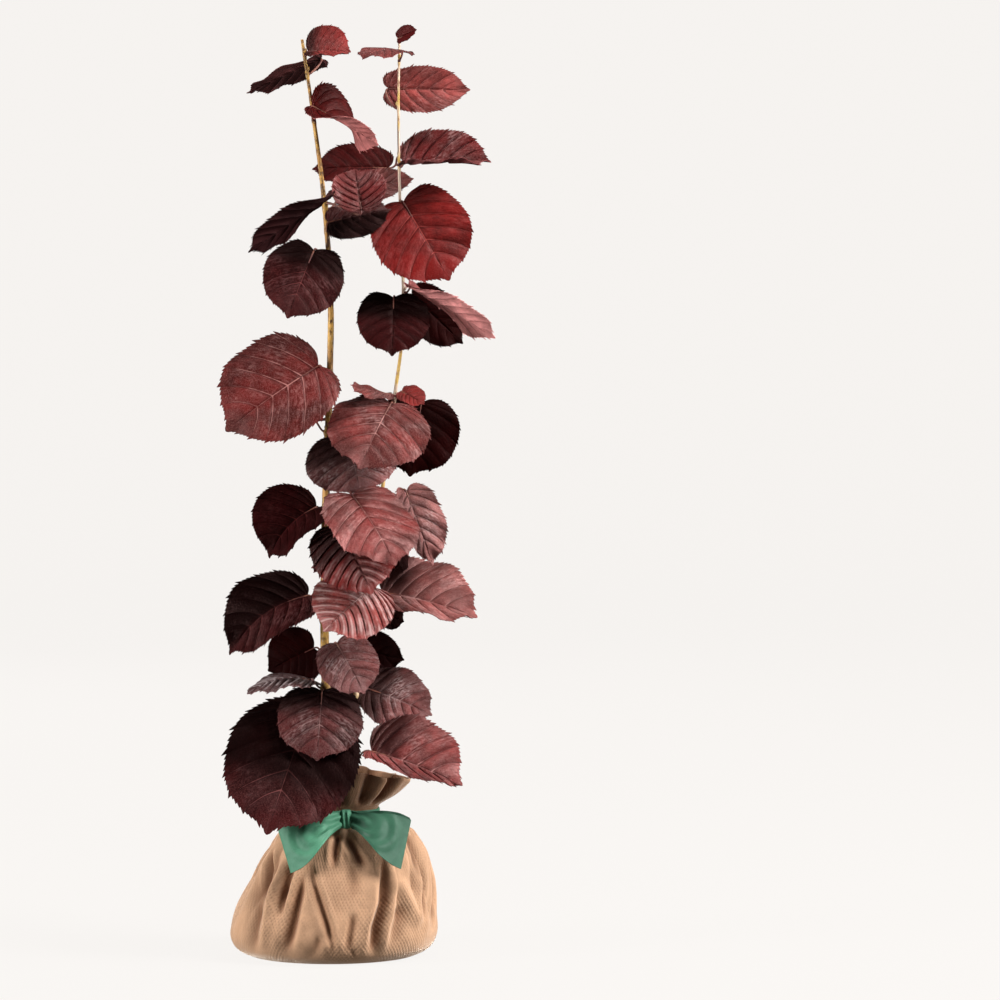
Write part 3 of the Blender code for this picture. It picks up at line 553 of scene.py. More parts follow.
class Mixture:
    """A material while its nodes are put together. Each method adds one node and returns its output."""

    def __init__(self, name):
        self.material = bpy.data.materials.new(name)
        self.material.use_nodes = True
        self.tree = self.material.node_tree
        self.shader = self.tree.nodes["Principled BSDF"]

    def add(self, kind, output=0, settings=None, **inputs):
        node = self.tree.nodes.new(kind)
        for key, value in (settings or {}).items():
            setattr(node, key, value)
        for key, value in inputs.items():
            self.feed(node.inputs[key.replace("_", " ")], value)
        return node.outputs[output]

    def feed(self, socket, value):
        if isinstance(value, bpy.types.NodeSocket):
            self.tree.links.new(value, socket)
        else:
            socket.default_value = value

    def maths(self, operation, first, second=0.0):
        node = self.tree.nodes.new("ShaderNodeMath")
        node.operation = operation
        self.feed(node.inputs[0], first)
        self.feed(node.inputs[1], second)
        return node.outputs[0]

    def times(self, first, second):
        return self.maths("MULTIPLY", first, second)

    def plus(self, first, second):
        return self.maths("ADD", first, second)

    def larger(self, first, second):
        return self.maths("MAXIMUM", first, second)

    def places(self):
        """The places on the piece in metres, which a pattern follows."""
        return self.add("ShaderNodeTexCoord", output=3)

    def coordinates(self, name):
        """The coordinates that the mesh keeps under a name."""
        return self.add("ShaderNodeUVMap", settings={"uv_map": name})

    def kept(self, name):
        """The value that the mesh keeps under a name."""
        return self.add("ShaderNodeAttribute", output=2, settings={"attribute_name": name})

    def turned_away(self):
        """How far the surface is turned away from the view, from 0 to 1."""
        return self.add("ShaderNodeLayerWeight", output=1, Blend=0.5)

    def ramp(self, value, low, high, start=0.0, end=1.0):
        """Value, taken smoothly from low..high to start..end."""
        settings = {"interpolation_type": "SMOOTHSTEP"}
        inputs = {"Value": value, "From_Min": low, "From_Max": high, "To_Min": start, "To_Max": end}
        return self.add("ShaderNodeMapRange", settings=settings, **inputs)

    def blend(self, share, low, high):
        """Colour low where share is 0 and high where it is 1."""
        node = self.tree.nodes.new("ShaderNodeMix")
        node.data_type = "RGBA"
        self.feed(node.inputs[0], share)
        for socket, colour in ((node.inputs[6], low), (node.inputs[7], high)):
            self.feed(socket, colour if isinstance(colour, bpy.types.NodeSocket) else (*colour, 1))
        return node.outputs[2]

    def speckle(self, vector, scale, detail=2.0, roughness=0.5):
        return self.add("ShaderNodeTexNoise", Vector=vector, Scale=scale, Detail=detail, Roughness=roughness)

    def stretch(self, vector, scale):
        return self.add("ShaderNodeMapping", Vector=vector, Scale=scale)

    def finish(self, colour, height, depth, roughness, specular=0.5):
        """Sets the shader: depth is the real height in metres of a bump of 1."""
        bump = self.tree.nodes.new("ShaderNodeBump")
        bump.inputs["Distance"].default_value = depth
        self.feed(bump.inputs["Height"], height)
        self.feed(self.shader.inputs["Normal"], bump.outputs[0])
        self.feed(self.shader.inputs["Base Color"], colour)
        self.feed(self.shader.inputs["Roughness"], roughness)
        self.shader.inputs["Specular IOR Level"].default_value = specular
        return self.material


def blade_lines(mix, veins):
    """Veins, painted shade in the hollows beside them, the crests between them, and the blade's own
    coordinates.
    """
    places = mix.add("ShaderNodeSeparateXYZ", Vector=mix.coordinates("blade"))
    along, out = places, places.node.outputs[1]
    turn = mix.maths("FRACT", mix.times(along, veins))
    signed = mix.maths("SUBTRACT", turn, 0.5)
    off = mix.maths("ABSOLUTE", signed)
    reach = mix.times(off, mix.plus(out, 0.25))
    before_tip = mix.ramp(mix.maths("FRACT", along), 0.8, 0.97, 1.0, 0.15)
    side = mix.times(mix.ramp(reach, 0.002, 0.018, 1.0, 0.0), before_tip)
    middle = mix.ramp(out, 0.004, 0.015, 1.0, 0.0)
    # Painted shade in the hollows beside the veins, stronger on each vein's tip side, and in a band along the
    # midrib.
    tip_side = mix.ramp(signed, -0.04, 0.04, 0.35, 1.0)
    hollow = mix.times(mix.ramp(reach, 0.01, 0.11, 1.0, 0.0), tip_side)
    hollow = mix.larger(mix.times(hollow, before_tip), mix.ramp(out, 0.02, 0.08, 0.8, 0.0))
    return mix.larger(side, middle), hollow, mix.ramp(off, 0.3, 0.47), along, out


def blade_cells(mix, along, out, veins):
    """The net of finest veins, 0 on a vein and 1 inside a cell, and streaks that run along the side veins."""
    cell_out = mix.times(out, 20.0)
    cells = mix.add(
        "ShaderNodeTexVoronoi",
        settings={"feature": "DISTANCE_TO_EDGE"},
        Vector=mix.add("ShaderNodeCombineXYZ", X=mix.times(along, veins * 4.0), Y=cell_out),
        Scale=1.0,
        Randomness=0.8,
    )
    long_places = mix.add("ShaderNodeCombineXYZ", X=mix.times(along, veins * 6.0), Y=cell_out)
    streaks = mix.speckle(mix.stretch(long_places, (1.0, 0.35, 1.0)), 1.0, 4.0, 0.65)
    calm = mix.ramp(mix.maths("FRACT", along), 0.55, 0.9, 1.0, 0.15)
    streaks = mix.plus(mix.times(mix.maths("SUBTRACT", streaks, 0.5), calm), 0.5)
    return mix.ramp(cells, 0.0, 0.25), streaks


def blade_tissue(mix, flesh, vein, finish, hollow, cloud, grain, streaks):
    """The flesh between the veins: clouded, speckled, streaked, with painted shade in the hollows."""
    tissue = mix.blend(mix.ramp(cloud, 0.36, 0.64), shade(flesh, 0.4), shade(flesh, 1.2))
    tissue = mix.blend(mix.ramp(grain, 0.35, 0.7, 0.0, 0.14), tissue, vein)
    tissue = mix.blend(mix.ramp(streaks, 0.35, 0.55, 0.5, 0.0), tissue, shade(flesh, 0.35))
    groove = min(0.95, 0.35 + 230 * finish.quilt)
    return mix.blend(mix.times(hollow, groove), tissue, shade(flesh, 0.2))


def leaf_material(name, flesh, vein, finish, veins, contrast):
    """Blade tissue under a painted grey sheen in streaks, with pale veins, and painted shadow near the stalk
    over it.
    """
    mix = Mixture(name)
    lines, hollow, crest, along, out = blade_lines(mix, veins)
    cell, streaks = blade_cells(mix, along, out, veins)
    places = mix.places()
    cloud = mix.speckle(places, 28.0, 4.0, 0.6)
    patches = mix.speckle(places, 46.0, 3.0, 0.6)
    grain = mix.speckle(places, 1000.0, 2.0)
    tissue = blade_tissue(mix, flesh, vein, finish, hollow, cloud, grain, streaks)
    # Painted sheen: grey streaks and patches over the tissue, and on ribbed blades a painted highlight on the
    # crests.
    bloom = mix.times(mix.ramp(streaks, 0.42, 0.68), mix.ramp(patches, 0.40, 0.66))
    if finish.quilt > RIBBED_QUILT:
        bloom = mix.larger(bloom, mix.times(crest, mix.ramp(patches, 0.36, 0.6)))
    grey = tuple(0.6 * v + 0.4 * sum(vein) / 3 for v in vein)
    tissue = mix.blend(mix.times(bloom, finish.bloom), tissue, grey)
    lines = mix.times(lines, mix.ramp(patches, 0.4, 0.58, 0.3, 1.0))
    colour = mix.blend(mix.times(lines, contrast), tissue, vein)
    # Painted shadow: the blade turns near black where the mesh keeps a shadow share.
    colour = mix.blend(mix.times(mix.kept("deep"), 0.93), colour, shade(flesh, 0.05))
    relief = mix.plus(mix.times(cell, 0.35), mix.times(grain, 0.35))
    relief = mix.plus(relief, mix.times(streaks, 1.2))
    shine = mix.ramp(cloud, 0.3, 0.7, finish.roughness + 0.08, finish.roughness - 0.06)
    mix.shader.inputs["Specular Tint"].default_value = (1.0, 0.5, 0.46, 1)
    specular = min(0.45, 0.02 + 1.7 * flesh[0] + 0.12 * finish.bloom)
    return mix.finish(colour, relief, finish.crinkle, shine, specular)


def stalk_material():
    mix = Mixture("stalk")
    places = mix.places()
    hairs = mix.speckle(places, 900.0, 3.0)
    colour = mix.blend(mix.ramp(mix.speckle(places, 120.0), 0.4, 0.65), tone(92, 44, 38), tone(132, 78, 60))
    return mix.finish(colour, hairs, 0.0002, 0.55)


def stem_point(stem, height):
    """The stem's centre at a height, on a smooth curve through its centreline."""
    line = np.array(stem.centreline)
    slopes = np.gradient(line[:, :2], line[:, 2], axis=0)
    slopes[0] = 0
    height = min(max(height, line[0, 2]), line[-1, 2])
    i = min(int(np.searchsorted(line[:, 2], height, side="right")) - 1, len(line) - 2)
    step = line[i + 1, 2] - line[i, 2]
    t = (height - line[i, 2]) / step
    place_xy = (
        (2 * t**3 - 3 * t**2 + 1) * line[i, :2]
        + (t**3 - 2 * t**2 + t) * step * slopes[i]
        + (3 * t**2 - 2 * t**3) * line[i + 1, :2]
        + (t**3 - t**2) * step * slopes[i + 1]
    )
    return np.array([*place_xy, height])


def stem_radius(stem, height):
    low, high = stem.centreline[0][2], stem.centreline[-1][2]
    share = (height - low) / (high - low)
    flare = stem.flare * math.exp(-(height - low) / STEM_FLARE_HEIGHT)
    return stem.tip_radius + (stem.foot_radius - stem.tip_radius) * (1 - share) ** 0.85 + flare


def leaf_node(stem, leaf):
    """The height where the leaf's stalk leaves its stem."""
    if leaf.node is not None:
        return leaf.node
    base = np.array(leaf.base)
    return base[2] - 0.55 * np.linalg.norm(base[:2] - stem_point(stem, base[2])[:2])


def margin(angle):
    """A point on the blade's edge, as shares of its length and half width. The angle is 0 at the tip."""
    point = TIP_REACH * np.exp(-((angle / 0.20) ** 2)) * 0.35
    point = point + TIP_REACH * np.exp(-((angle / 0.055) ** 2)) * 0.8
    notch = LOBE_REACH * np.exp(-(((math.pi - angle) / 0.24) ** 2))
    body = (1 - TIP_REACH + LOBE_REACH) / 2
    roundness = np.where(angle > math.pi / 2, 0.75, 0.85)
    along = body - LOBE_REACH + body * np.cos(angle) + point + notch
    return along, np.abs(np.sin(angle)) ** roundness


def vein_start(angle):
    """Where on the midrib the side vein to a place on the margin starts, as a share of the length."""
    return LAST_VEIN * np.clip((SIDE_VEIN_START - angle) / SIDE_VEIN_START, 0, 1) ** 1.25


def blade_axes(leaf):
    chord = np.array(leaf.tip) - np.array(leaf.base)
    along = chord / np.linalg.norm(chord)
    face = np.array(leaf.face, float)
    up = face - (face @ along) * along
    up /= np.linalg.norm(up)
    return chord, along, up, np.cross(along, up)


def blade_points(leaf, x, y, height):
    """Places on the blade for x, a share of its length, and y, one of half its width, raised by height."""
    chord, along, up, right = blade_axes(leaf)
    bend = math.radians(leaf.bend) or 1e-4
    length = np.linalg.norm(chord) * (bend / 2) / math.sin(bend / 2)
    tilt = bend / 2 - bend * x
    reach = length * (math.sin(bend / 2) - np.sin(tilt)) / bend
    rise = length * (np.cos(tilt) - math.cos(bend / 2)) / bend
    sideways = leaf.sway * length * 4 * x * (1 - x)
    half_width = leaf.width / 2 * (1 + leaf.skew * np.sign(y))
    fold, cup = math.radians(leaf.fold), math.radians(leaf.cup) or 1e-4
    across = half_width * np.abs(y)
    turn = cup / half_width
    slope = fold + turn * across
    out = np.sign(y) * ((np.sin(slope) - math.sin(fold)) / turn - np.sin(slope) * height)
    lift = (math.cos(fold) - np.cos(slope)) / turn + np.cos(slope) * height
    twist = math.radians(leaf.twist) * (x - 0.5)
    side = out * np.cos(twist) - lift * np.sin(twist)
    off = lift * np.cos(twist) + out * np.sin(twist)
    forward = reach - off * np.sin(tilt)
    above = rise + off * np.cos(tilt)
    return (
        np.array(leaf.base)
        + np.multiply.outer(forward, along)
        + np.multiply.outer(above, up)
        + np.multiply.outer(sideways + side, right)
    )


def stalk_line(stem, leaf):
    """From inside the stem to the blade's base, and on along the midrib."""
    base = np.array(leaf.base)
    node = leaf_node(stem, leaf)
    inside = [blade_points(leaf, np.array(x), np.array(0.0), -0.0004) for x in (0.0, 0.06, 0.12, 0.2)]
    centre = stem_point(stem, node)
    outwards = base - centre
    outwards[2] = 0
    outwards /= np.linalg.norm(outwards)
    foot = centre + outwards * stem_radius(stem, node) * 0.5
    start = centre + outwards * (stem_radius(stem, node) + STALK_RADIUS)
    span = np.linalg.norm(base - start)
    start_pull = start + outwards * span * 0.35
    end_pull = base - (inside[2] - base) / np.linalg.norm(inside[2] - base) * span * 0.35
    stretch = [
        (1 - t) ** 3 * start + 3 * (1 - t) ** 2 * t * start_pull + 3 * (1 - t) * t**2 * end_pull + t**3 * base
        for t in np.linspace(0, 1, STALK_STEPS)[:-1]
    ]
    return [foot, *stretch, *inside]


def tube(points, radii, sides):
    """Points and faces of a closed tube, swept along the points."""
    points = np.array(points)
    headings = np.gradient(points, axis=0)
    headings /= np.linalg.norm(headings, axis=1, keepdims=True)
    across = np.cross(headings[0], (0.0, 0.0, 1.0))
    if np.linalg.norm(across) < 0.1:
        across = np.array((1.0, 0.0, 0.0))
    turns = turns_of(sides)
    rings = []
    for middle, heading, radius in zip(points, headings, radii):
        across = across - (across @ heading) * heading
        across /= np.linalg.norm(across)
        beside = np.cross(heading, across)
        spokes = np.multiply.outer(np.cos(turns), across) + np.multiply.outer(np.sin(turns), beside)
        rings.append(middle + radius * spokes)
    return np.concatenate(rings), ring_faces(len(points), sides)


def blade_rows(veins):
    """The rows across a blade: their places from base to tip, how far their teeth have risen, and how far
    teeth and waves show there."""
    teeth = veins * TEETH_PER_VEIN
    places, rises, leading = [], [], []
    for tooth in range(teeth):
        for phase, rise in zip(TOOTH_PHASES, TOOTH_RISES):
            places.append((tooth + phase) / teeth)
            rises.append(rise)
            leading.append(tooth % TEETH_PER_VEIN == LEADING_TOOTH)
    places = np.array([*places, 1.0])
    fade = smooth(places / 0.10) * smooth((1 - places) / 0.06)
    return Rows(places, np.array([*rises, 0.0]), np.array([*leading, False]), fade)


def painted_shadow_share(leaf, x, y):
    """How much painted shadow each place gets, from 0 to 1."""
    if not leaf.deep:
        return np.zeros(x.shape)
    near_stalk = smooth(0.5 + (leaf.deep - x) / 0.3)
    beside = smooth(0.5 + 4 * leaf.half * y) if leaf.half else 1.0
    return near_stalk * beside


def vein_pairs(finish, settings):
    """Ribbed leaves have a third more side veins than the others."""
    return round(settings.vein_pairs * (1.34 if finish.quilt > RIBBED_QUILT else 1.0))


def blade_length(leaf):
    return np.linalg.norm(np.array(leaf.tip) - np.array(leaf.base))


def blade_edge(leaf, places):
    """For each row: where its vein starts on the midrib, its point on the margin, and the ways along the
    margin and out from it."""
    length = blade_length(leaf)
    angles = math.pi * (1 - places) ** 1.15
    edge_x, edge_y = margin(angles)
    points = np.stack([edge_x * length, edge_y * (leaf.width / 2)], axis=-1)
    heading = np.gradient(points, axis=0)
    heading /= np.maximum(np.linalg.norm(heading, axis=1, keepdims=True), 1e-9)
    outward = np.stack([-heading[:, 1], heading[:, 0]], axis=-1)
    return Edge(vein_start(angles) * length, points, heading, outward)


def toothed_half(leaf, settings, chance, rows, edge):
    """x and y of one half's places, from the midrib along the side veins to the teeth."""
    length = blade_length(leaf)
    count = len(rows.places)
    sizes = np.where(rows.leading, 1.0, 0.45)
    sizes = sizes * chance.uniform(0.75, 1.25, count // 3 + 1).repeat(3)[:count]
    reach = (settings.tooth * length * sizes * rows.rises * rows.fade)[:, None]
    tooth = edge.outward * reach + edge.heading * reach * 0.8
    weight = np.clip((BLADE_SHARES - 0.82) / 0.18, 0, 1)
    start = edge.start[:, None]
    x = start + (edge.points[:, :1] - start) * BLADE_SHARES + tooth[:, :1] * weight
    x -= 0.03 * length * np.sin(math.pi * BLADE_SHARES) * rows.fade[:, None]
    y = edge.points[:, 1:] * BLADE_SHARES + tooth[:, 1:] * weight
    return x, y


def quilting(finish, rows, edge, veins):
    """How deep one half is quilted at each place, from its midrib to its margin."""
    spacing = np.linalg.norm(np.gradient(edge.points, rows.places, axis=0), axis=1) / veins
    midrib_spacing = np.abs(np.gradient(edge.start, rows.places)) / veins
    local = midrib_spacing[:, None] * (1 - BLADE_SHARES) + spacing[:, None] * BLADE_SHARES
    quilt = finish.quilt * np.minimum(local / 0.009, 1.5)
    quilt = quilt * smooth(BLADE_SHARES / 0.16) * (1 - 0.45 * BLADE_SHARES**3)
    return quilt * smooth((1 - rows.places) / 0.2)[:, None]


def quilted_half(leaf, settings, chance, rows, edge, veins):
    """Heights of one half's upper and under sides: quilted, waved at the edge, and ribbed below."""
    finish = FINISHES[leaf.finish]
    phase = (rows.places * veins - 0.5) % 1.0
    crown = np.sin(math.pi * phase) ** (0.5 if finish.quilt > 0.002 else 0.7)
    groove = 1 - np.clip(np.minimum(phase, 1 - phase) / 0.16, 0, 1)
    waves = chance.uniform(2.0, 3.6)
    wave = finish.wave * min(1.4, blade_length(leaf) / 0.07) * BLADE_SHARES**3
    wave = wave * np.sin(2 * math.pi * (waves * rows.places + chance.random()))[:, None]
    top = quilting(finish, rows, edge, veins) * (crown - 0.6)[:, None] + wave * rows.fade[:, None]
    top -= 0.0008 * (1 - smooth(BLADE_SHARES / 0.10))
    rib = settings.rib_height * groove[:, None] * smooth(BLADE_SHARES / 0.05) * (1 - 0.6 * BLADE_SHARES)
    midrib = 1.6 * settings.rib_height * (1 - smooth(BLADE_SHARES / 0.07))
    rib += midrib * (1.1 - rows.places[:, None])
    return top, top - settings.thickness - rib


def blade_faces(count, wide):
    """Faces of the upper side, the under side and the margin's walls, and their kinds: 0 upper, 1 other."""
    row = np.arange(count - 1) * wide
    corner = (row[:, None] + np.arange(wide - 1)).ravel()
    upper = np.stack([corner, corner + 1, corner + wide + 1, corner + wide], axis=-1)
    lower = upper[:, ::-1] + count * wide
    low_row = row + count * wide
    last = wide - 1
    first_wall = np.stack([row, row + wide, low_row + wide, low_row], axis=-1)
    last_wall = np.stack([row + last, low_row + last, low_row + wide + last, row + wide + last], axis=-1)
    faces = np.concatenate([upper, lower, first_wall, last_wall])
    return faces, (np.arange(len(faces)) >= len(upper)).astype(int)


def blade_coordinates(places, faces):
    """For each face corner: its row's place, with 2 added on the left half, and its share outwards."""
    count, wide = len(places), 2 * len(BLADE_SHARES) - 1
    shares = np.concatenate([BLADE_SHARES[:0:-1], BLADE_SHARES])
    along = np.tile(np.repeat(places, wide), 2)
    out = np.tile(shares, 2 * count)
    coordinates = np.stack([along[faces], out[faces]], axis=-1)
    left_quads = np.tile(np.arange(wide - 1) < wide // 2, 2 * (count - 1))
    left_half = np.concatenate([left_quads, np.ones(count - 1, bool), np.zeros(count - 1, bool)])
    coordinates[left_half, :, 0] += 2
    return coordinates


def build_blade(leaf, settings, chance):
    """Points, faces, face kinds, corner coordinates and painted shadow of a toothed, veined blade."""
    veins = vein_pairs(FINISHES[leaf.finish], settings)
    rows = blade_rows(veins)
    edge = blade_edge(leaf, rows.places)
    halves = []
    for side in (-1, 1):
        x, y = toothed_half(leaf, settings, chance, rows, edge)
        top, under = quilted_half(leaf, settings, chance, rows, edge, veins)
        halves.append((x / blade_length(leaf), side * y / (leaf.width / 2), top, under))
    x, y, top, under = (np.concatenate([left[:, :0:-1], right], axis=1) for left, right in zip(*halves))
    points = [blade_points(leaf, x, y, height).reshape(-1, 3) for height in (top, under)]
    faces, kinds = blade_faces(*x.shape)
    coordinates = blade_coordinates(rows.places, faces)
    return np.concatenate(points), faces, kinds, coordinates, np.tile(painted_shadow_share(leaf, x, y).ravel(), 2)


def build_leaf(name, stem, leaf, settings, chance, materials, collection):
    """A blade and its stalk as one mesh."""
    points, faces, kinds, coordinates, deep = build_blade(leaf, settings, chance)
    line = stalk_line(stem, leaf)
    radii = np.interp(np.linspace(0, 1, len(line)), *STALK_GIRTH) * STALK_RADIUS
    stalk_points, stalk_faces = tube(line, radii, STALK_SIDES)
    all_faces = faces.tolist() + [tuple(len(points) + i for i in face) for face in stalk_faces]
    obj = new_mesh(name, np.concatenate([points, stalk_points]), all_faces, collection)
    mesh = obj.data
    stalk_corners = sum(len(face) for face in stalk_faces)
    keep_coordinates(mesh, "blade", np.concatenate([coordinates.ravel(), np.zeros(2 * stalk_corners)]))
    kinds = np.concatenate([kinds, np.full(len(stalk_faces), 2)])
    mesh.polygons.foreach_set("material_index", kinds.astype(np.int32))
    keep_values(mesh, "deep", np.concatenate([deep, np.zeros(len(stalk_points))]))
    for material in materials:
        mesh.materials.append(material)
    weld(mesh, 0.000002)
    soften(mesh)
    return obj


def stem_nodes(stem):
    """Height and bearing of each place where a leaf leaves the stem."""
    nodes = []
    for leaf in LEAVES[stem.name]:
        node = leaf_node(stem, leaf)
        away = np.array(leaf.base) - stem_point(stem, node)
        nodes.append((node, math.atan2(away[1], away[0])))
    return nodes


def stem_rings(stem, nodes, settings):
    """Rings of points up the stem, with its swollen nodes and wrinkled bark."""
    turns = turns_of(STEM_SIDES)
    rings = []
    for height in np.arange(stem.centreline[0][2], stem.centreline[-1][2], STEM_RING_STEP):
        radius = stem_radius(stem, height)
        radii = np.full(STEM_SIDES, radius)
        for node, bearing in nodes:
            near = math.exp(-(((height - node + 0.001) / 0.0032) ** 2))
            facing = 0.35 + 0.65 * np.clip(np.cos(turns - bearing), 0, 1)
            radii += radius * settings.node_swelling * near * facing
            radii -= radius * 0.06 * math.exp(-(((height - node + 0.0055) / 0.0012) ** 2))
        for i, turn in enumerate(turns):
            spot = Vector((math.cos(turn) * 2.2, math.sin(turn) * 2.2, height * 60))
            radii[i] += settings.relief * (noise.noise(spot) + 0.6 * noise.noise(spot * 2.7))
        rings.append(ring_points(stem_point(stem, height), radii, turns))
    return rings


def bud(foot, heading, length):
    """Points and faces of a pointed bud with its widest part a third of the way up."""
    steps = range(BUD_STEPS + 1)
    line = [foot + heading * length * step / BUD_STEPS for step in steps]
    swells = [math.sin(math.pi * (0.12 + 0.88 * step / BUD_STEPS)) ** 0.8 for step in steps]
    return tube(line, [length * 0.30 * swell + 0.00004 for swell in swells], BUD_SIDES)


def build_stem(stem, settings, chance, material, collection):
    """A stem with a bud over each leaf's foot."""
    nodes = stem_nodes(stem)
    rings = stem_rings(stem, nodes, settings)
    faces = ring_faces(len(rings), STEM_SIDES)
    points = [point for ring in rings for point in ring]
    for node, bearing in nodes:
        outwards = np.array((math.cos(bearing), math.sin(bearing), 0.0))
        foot = stem_point(stem, node + 0.0022) + outwards * stem_radius(stem, node) * 0.75
        heading = outwards * 0.45 + np.array((0.0, 0.0, 0.9))
        bud_points, bud_faces = bud(foot, heading, settings.bud_length * chance.uniform(0.6, 1.1))
        faces += [tuple(len(points) + i for i in face) for face in bud_faces]
        points += list(bud_points)
    return new_piece(stem.name + "_bark", points, faces, material, collection)


def bark_material(name, lit, second, brown, patch):
    """Young bark: two light tones in turn up the stem, brown patches, fine wrinkles and pale pores."""
    mix = Mixture(name)
    places = mix.places()
    long_patches = mix.speckle(mix.stretch(places, (150.0, 150.0, 95.0)), 1.0, 3.0, 0.65)
    wrinkles = mix.speckle(mix.stretch(places, (420.0, 420.0, 90.0)), 1.0, 4.0, 0.6)
    long_places = mix.stretch(places, (420.0, 420.0, 190.0))
    pores = mix.add("ShaderNodeTexVoronoi", Vector=long_places, Scale=1.0, Randomness=1.0)
    pore = mix.ramp(pores, 0.16, 0.28, 1.0, 0.0)
    zones = mix.speckle(mix.stretch(places, (1.0, 1.0, 24.0)), 1.0, 1.0)
    bark = mix.blend(mix.ramp(zones, 0.46, 0.56), lit, second)
    bark = mix.blend(mix.ramp(long_patches, patch - 0.1, patch + 0.1), bark, brown)
    # Painted shade: the bark browner where it turns away from the view, at the stem's sides.
    bark = mix.blend(mix.ramp(mix.turned_away(), 0.4, 0.85, 0.0, 0.55), bark, brown)
    bark = mix.blend(mix.ramp(wrinkles, 0.3, 0.7, 0.32, 0.0), bark, shade(brown, 0.4))
    bark = mix.blend(mix.times(pore, 0.55), bark, tone(214, 190, 150))
    relief = mix.plus(wrinkles, mix.times(pore, 0.6))
    return mix.finish(bark, relief, 0.0003, mix.ramp(wrinkles, 0.3, 0.7, 0.62, 0.46), 0.4)


def sack_profile():
    """Height, half width, half depth and folds on a curve through the stations, and the cloth so far."""
    stations = np.array(SACK_STATIONS)
    padded = np.concatenate([stations[:1], stations, stations[-1:]])
    rows = []
    for i in range(len(stations) - 1):
        before, start, end, after = padded[i : i + 4]
        for step in range(SACK_RINGS_PER_STATION):
            t = step / SACK_RINGS_PER_STATION
            near = 2 * start + (end - before) * t
            far = (2 * before - 5 * start + 4 * end - after) * t**2
            far += (3 * start - before - 3 * end + after) * t**3
            rows.append((near + far) / 2)
    rows = np.array([*rows, stations[-1]])
    steps = np.linalg.norm(np.diff(rows[:, :2], axis=0), axis=1)
    return rows, np.concatenate([[0], np.cumsum(steps)])


def crease_depth(crease, x, z):
    """How far a crease presses the cloth in at x and z, with the cloth rising a little on each side of it."""
    nearest = np.full(x.shape, 9.0)
    share = np.zeros(x.shape)
    for i, (first, second) in enumerate(zip(crease.places, crease.places[1:])):
        first, second = np.array(first), np.array(second)
        run = second - first
        t = np.clip(((x - first[0]) * run[0] + (z - first[1]) * run[1]) / (run @ run), 0, 1)
        off = np.hypot(x - first[0] - t * run[0], z - first[1] - t * run[1])
        closer = off < nearest
        nearest = np.where(closer, off, nearest)
        share = np.where(closer, (i + t) / (len(crease.places) - 1), share)
    fade = smooth(share * 4) * smooth((1 - share) * 2.2)
    across = nearest / crease.width
    return crease.depth * fade * (np.exp(-(across**2)) - 0.38 * np.exp(-(((across - 2.1) / 0.9) ** 2)))


def sack_creases(angles, x, z, scale, chance):
    """How far all the creases press the cloth in: those of the front as they show, and chance ones behind."""
    front = smooth((0.25 - np.sin(angles)) / 0.3)
    pressed = np.zeros(x.shape)
    for crease in FRONT_CREASES:
        pressed += front * crease_depth(crease, x, z)
    round_x = ((angles + math.pi / 2) % (2 * math.pi) - math.pi) * BACK_RADIUS
    for i in range(BACK_CREASES):
        start = BACK_RADIUS * math.pi * 0.62 * (2 * (i + chance.uniform(0.2, 0.8)) / BACK_CREASES - 1)
        top = chance.uniform(0.085, 0.112)
        drop = chance.uniform(0.035, 0.08)
        lean = start * 0.16 + chance.uniform(-0.006, 0.006)
        places = ((start, top), (start + lean * 0.5, top - drop * 0.5), (start + lean, top - drop))
        crease = Crease(places, chance.uniform(0.003, 0.006), chance.uniform(0.003, 0.005))
        pressed += crease_depth(crease, round_x, z)
    return pressed * scale


def gathers(angles, heights):
    """Valleys that run down from the tie and die out on the belly, from 0 on the ridges to 1."""
    wander = 0.35 * np.sin(3 * angles + 40 * heights) + 0.3 * np.sin(5 * angles - 30 * heights + 1)
    phase = 9 * angles + 1.5 * np.sin(2 * angles + 0.7) + wander
    return (1 - np.abs(np.sin(phase)) ** 0.7) * smooth((heights - 0.01) / 0.07)


def ruffle_pleats(ruffle, angles, heights):
    """How far the ruffle's pleats stand out, or in where negative."""
    valley = 0
    for turn in RUFFLE_VALLEYS:
        off = math.pi - abs(abs(angles - turn) - math.pi)
        valley = valley + np.exp(-((off / 0.12) ** 2))
    return ruffle * (0.0016 - 0.0085 * valley + 0.0006 * np.sin(17 * angles + 60 * heights))


